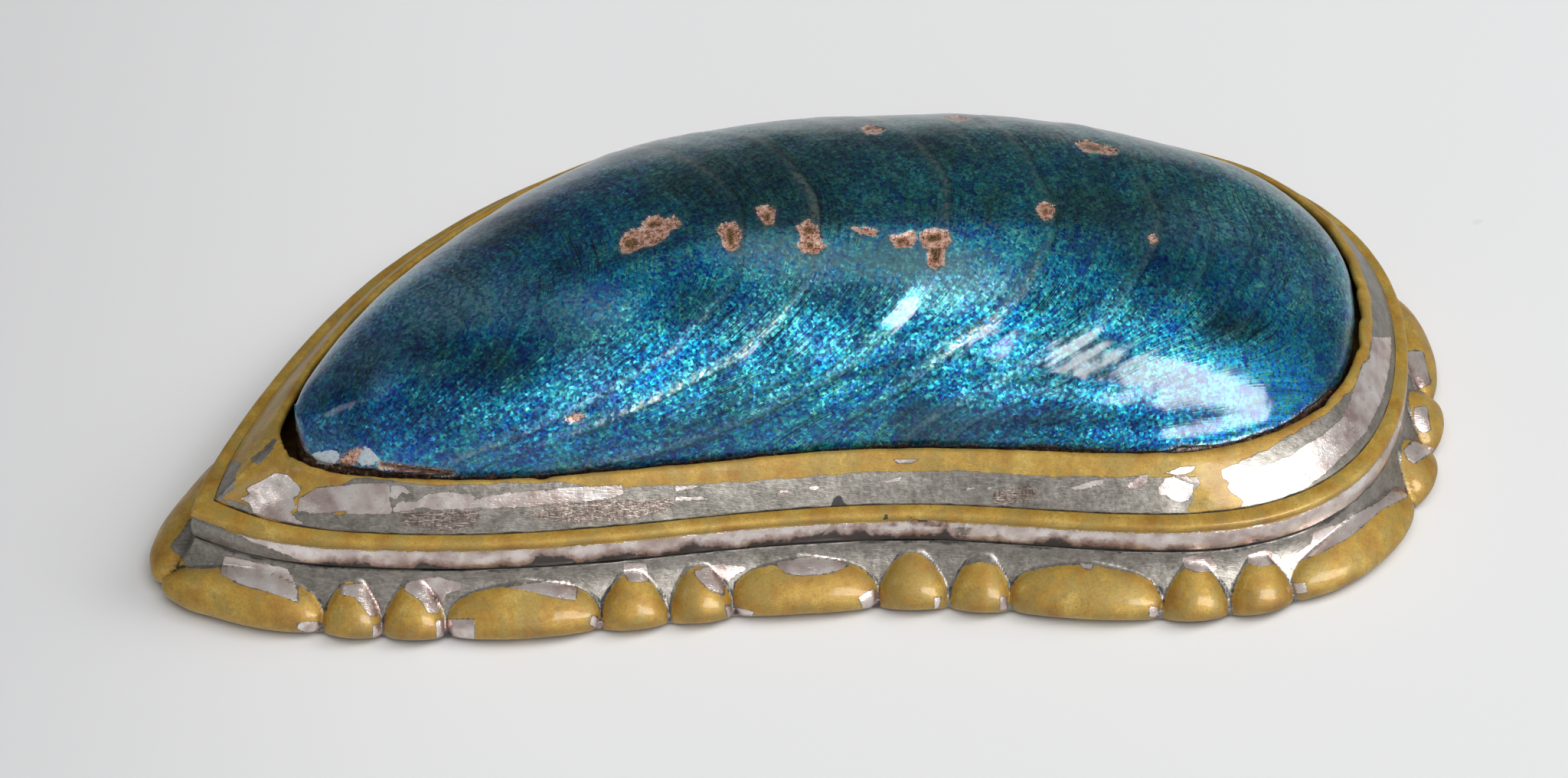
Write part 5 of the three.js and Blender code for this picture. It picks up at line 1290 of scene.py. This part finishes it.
def orient(V, faces):
    """All faces share one winding; turn them over if they point inwards."""
    vol = 0.0
    for f in faces:
        a, b, c = V[f[:, 0]], V[f[:, 1]], V[f[:, 2]]
        vol += np.einsum("ij,ij->", a, np.cross(b, c))
        if f.shape[1] == 4:
            vol += np.einsum("ij,ij->", a, np.cross(c, V[f[:, 3]]))
    return faces if vol > 0 else [f[:, ::-1] for f in faces]


def turned(name, prof, x0, n, material, body, node, slot, seam=True, seed=150):
    """A turned or rolled piece about the hinge axis, prof is (radius, x)."""
    prof = np.asarray(prof, float)
    a = np.arange(n) / n * 2 * math.pi
    k = len(prof)
    r = np.tile(prof[:, 0], (n, 1))
    r = r + 0.008 * noise3(np.cos(a)[:, None] * 2, np.sin(a)[:, None] * 2, prof[None, :, 1] / 0.9, seed) * (r > 0.6)
    if seam:
        # the roll closes where it meets its plate
        gap = np.exp(-((np.angle(np.exp(1j * (a - math.radians(225))))) / 0.05) ** 2)
        r = r - 0.06 * gap[:, None] * (prof[None, :, 0] > 0.9)
    X = np.stack([np.broadcast_to(x0 + prof[None, :, 1], r.shape), HY + r * np.cos(a)[:, None], HZ + r * np.sin(a)[:, None]], -1)
    closed = np.allclose(prof[0], prof[-1])
    if closed:
        X = X[:, :-1]
        faces = [grid_faces(n, k - 1)]
        V = X.reshape(-1, 3)
    else:
        ids = np.arange(n * k).reshape(n, k)
        b = np.roll(ids, -1, 0)
        V = np.vstack([X.reshape(-1, 3), [[x0 + prof[0, 1], HY, HZ], [x0 + prof[-1, 1], HY, HZ]]])
        faces = [np.stack([ids[:, :-1], ids[:, 1:], b[:, 1:], b[:, :-1]], -1).reshape(-1, 4),
                 np.stack([ids[:, 0], b[:, 0], np.full(n, n * k)], -1), np.stack([b[:, -1], ids[:, -1], np.full(n, n * k + 1)], -1)]
    make_mesh(name, V, orient(V, faces), {}, material, body, (node,))


def hinge():
    w = (15.0 - 4 * 0.3) / 5
    names = [("barrel_base_left", "base", "base_knuckle_left"), ("barrel_cover_left", "cover", "cover_knuckle_left"),
             ("barrel_base_middle", "base", "base_knuckle_middle"), ("barrel_cover_right", "cover", "cover_knuckle_right"),
             ("barrel_base_right", "base", "base_knuckle_right")]
    for i, (name, body, node) in enumerate(names):
        wall = [(1.195 - 0.004 * math.cos(j), x) for j, x in enumerate(np.linspace(0.2, w - 0.2, 14))]
        prof = [(0.8, 0.05), (0.85, 0.0), (1.05, 0.0), (1.13, 0.03), (1.18, 0.09)] + wall + [(1.18, w - 0.09), (1.13, w - 0.03), (1.05, w), (0.85, w), (0.8, w - 0.05), (0.8, 0.05)]
        turned(name, prof, HX0 + i * (w + 0.3), 72, TRAY_DARK, body, node, "bare_brass", seed=150 + i)
    l = 15.5
    prof = [(0.02, 0.0), (0.2, 0.01), (0.36, 0.05), (0.45, 0.12), (0.49, 0.22)] + [(0.5, x) for x in np.linspace(0.4, l - 0.4, 60)] + [(0.49, l - 0.22), (0.45, l - 0.12), (0.36, l - 0.05), (0.2, l - 0.01), (0.02, l)]
    turned("hinge_wire", prof, 8.5 - l / 2, 40, WIRE, "base", "hinge_pin", "pin_wire", seam=False)
    bar("joint_plate_cover", HX0, HX1, 24.2, 25.85, 4.3, 4.8, "cover", "cover_joint_plate")
    bar("joint_plate_base", HX0, HX1, 24.2, 25.85, 3.6, 4.1, "base", "base_joint_plate")


dome()
collar()
cover_band()
border()
plate()
plain_ring("tray_gorge", np.vstack([resample([(-2.9, 0.72), (-2.9, 5.55)], 18), chaikin([(-2.91, 5.7), (-2.95, 5.84), (-3.06, 5.89), (-3.29, 5.89), (-3.40, 5.84), (-3.44, 5.7)], 2), resample([(-3.45, 5.5), (-3.45, 0.72)], 18)]),
           900, TRAY, "base", ("base_gorge",), 0.02, 4.0, 121)
plain_ring("bearer_step", np.vstack([resample([(-1.93, 6.82), (-2.62, 7.84)], 6), resample([(-2.70, 7.89), (-4.32, 7.89)], 8), [(-4.39, 7.82)], resample([(-4.4, 7.7), (-4.36, 7.36)], 3), resample([(-4.2, 7.26), (-2.95, 6.82)], 6)]),
           700, TRAY_DARK, "cover", ("shell_bearer",), 0.015, 3.0, 122)
hinge()

# --------------------------------------------------------------- surroundings
WORLD_LOW, WORLD_TOP, WORLD_FRONT, WORLD_UNDER = 0.13, 0.12, 0.19, 0.44
LIGHTS = [
    dict(name="key", az=39, el=24.5, dist=0.75, w=0.54, h=0.23, power=7.4, diffuse=False, roll=-28),
    dict(name="left_panel", az=-64, el=38, dist=0.8, w=0.18, h=0.2, power=0.35, diffuse=False),
    dict(name="side", az=100, el=45, dist=0.8, w=0.40, h=0.40, power=2.7, glossy=False),
    dict(name="overhead", az=20, el=70, dist=0.8, w=0.8, h=0.8, power=4.2, glossy=False),
]

def floor_material():
    t = Tree("pale_table")
    n1, n2 = t.noise(0.012, 3.0), t.noise(0.5, 4.0, 0.6)
    c = t.mix(n1, (0.845, 0.85, 0.86), (0.87, 0.87, 0.87))
    # painted shadow: the table is darker to the left of the box
    side = t.nt.nodes.new("ShaderNodeSeparateXYZ")
    t.put(side.inputs[0], t.mm)
    c = t.mix(t.step(side.outputs[0], -75.0, -15.0, 0.85, 0.0), c, (0.70, 0.70, 0.71))
    dust = t.step(t.noise(0.35, 2.0, 0.5), 0.78, 0.80)
    c = t.mix(t.mul(dust, 0.15), c, (0.5, 0.5, 0.55))
    return t.finish(c, t.mixf(n1, 0.46, 0.54), 0.0, t.bump(t.mul(n2, 0.006)), Specular_IOR_Level=0.0)


me = bpy.data.meshes.new("table_top")
f = 1.6
me.from_pydata([(-f, -f, -0.0002), (f, -f, -0.0002), (f, f, -0.0002), (-f, f, -0.0002)], [], [(0, 1, 2, 3)])
floor = bpy.data.objects.new("table_top", me)
bpy.context.scene.collection.objects.link(floor)
me.materials.append(floor_material())
floor.visible_glossy = False

world = bpy.data.worlds.new("studio")
bpy.context.scene.world = world
world.use_nodes = True
wt = world.node_tree
wt.nodes.clear()
out = wt.nodes.new("ShaderNodeOutputWorld")
bg = wt.nodes.new("ShaderNodeBackground")
co = wt.nodes.new("ShaderNodeTexCoord")
sep = wt.nodes.new("ShaderNodeSeparateXYZ")
wt.links.new(co.outputs["Generated"], sep.inputs[0])


def wmath(op, a, b):
    n = wt.nodes.new("ShaderNodeMath")
    n.operation = op
    for i, v in enumerate((a, b)):
        if isinstance(v, bpy.types.NodeSocket):
            wt.links.new(v, n.inputs[i])
        else:
            n.inputs[i].default_value = v
    return n.outputs[0]


# pale towards the viewer, overhead and from the table, dim low down at the back
up = wt.nodes.new("ShaderNodeMapRange")
up.interpolation_type = "SMOOTHSTEP"
wt.links.new(sep.outputs[2], up.inputs["Value"])
for key, v in (("From Min", 0.0), ("From Max", 0.9), ("To Min", WORLD_LOW), ("To Max", WORLD_TOP)):
    up.inputs[key].default_value = v
front_n = wt.nodes.new("ShaderNodeMapRange")
front_n.interpolation_type = "SMOOTHSTEP"
wt.links.new(sep.outputs[1], front_n.inputs["Value"])
for key, v in (("From Min", 0.35), ("From Max", -0.6), ("To Min", 0.0), ("To Max", WORLD_FRONT)):
    front_n.inputs[key].default_value = v
under_n = wt.nodes.new("ShaderNodeMapRange")
under_n.interpolation_type = "SMOOTHSTEP"
wt.links.new(sep.outputs[2], under_n.inputs["Value"])
for key, v in (("From Min", 0.12), ("From Max", -0.30), ("To Min", 0.0), ("To Max", WORLD_UNDER)):
    under_n.inputs[key].default_value = v
fall_n = wt.nodes.new("ShaderNodeMapRange")
fall_n.interpolation_type = "SMOOTHSTEP"
wt.links.new(sep.outputs[2], fall_n.inputs["Value"])
for key, v in (("From Min", 0.28), ("From Max", 0.62), ("To Min", 1.0), ("To Max", 0.22)):
    fall_n.inputs[key].default_value = v
strength = wmath("ADD", wmath("ADD", up.outputs[0], wmath("MULTIPLY", front_n.outputs[0], fall_n.outputs[0])), under_n.outputs[0])
bg.inputs["Color"].default_value = (0.98, 0.99, 1.0, 1.0)
wt.links.new(strength, bg.inputs["Strength"])
wt.links.new(bg.outputs[0], out.inputs["Surface"])


def softbox(name, az, el, dist, w, h, power, aim=(0, 0, 0.008), color=(1, 1, 1), spread=180, glossy=True, diffuse=True, roll=0):
    """Area light; az from the viewer's side towards +X, in degrees."""
    a, e = math.radians(az), math.radians(el)
    pos = np.array([math.sin(a) * math.cos(e), -math.cos(a) * math.cos(e), math.sin(e)]) * dist
    li = bpy.data.lights.new(name, "AREA")
    li.shape, li.size, li.size_y, li.energy, li.color = "RECTANGLE", w, h, power, color
    li.spread = math.radians(spread)
    ob = bpy.data.objects.new(name, li)
    from mathutils import Quaternion, Vector
    ob.location = Vector(pos) + Vector(aim)
    ob.rotation_euler = ((-Vector(pos)).to_track_quat("-Z", "Y") @ Quaternion((0, 0, 1), math.radians(roll))).to_euler()
    ob.visible_camera = False
    ob.visible_glossy, ob.visible_diffuse = glossy, diffuse
    bpy.context.scene.collection.objects.link(ob)
    return ob


for spec in LIGHTS:
    softbox(**spec)

cam = bpy.data.cameras.new("photo_view")
cam_ob = bpy.data.objects.new("photo_view", cam)
bpy.context.scene.collection.objects.link(cam_ob)
bpy.context.scene.camera = cam_ob
target = (FOCUS + OFF) * 0.001
cam_ob.location = (target[0], target[1] - 0.42 * math.cos(EL), target[2] + 0.42 * math.sin(EL))
cam_ob.rotation_euler = (math.radians(90) - EL, 0, 0)
cam.sensor_width, cam.lens = 36.0, FPX / 2048 * 36.0
cam.clip_start, cam.clip_end = 0.02, 10.0
bpy.context.scene.view_settings.view_transform = "Standard"
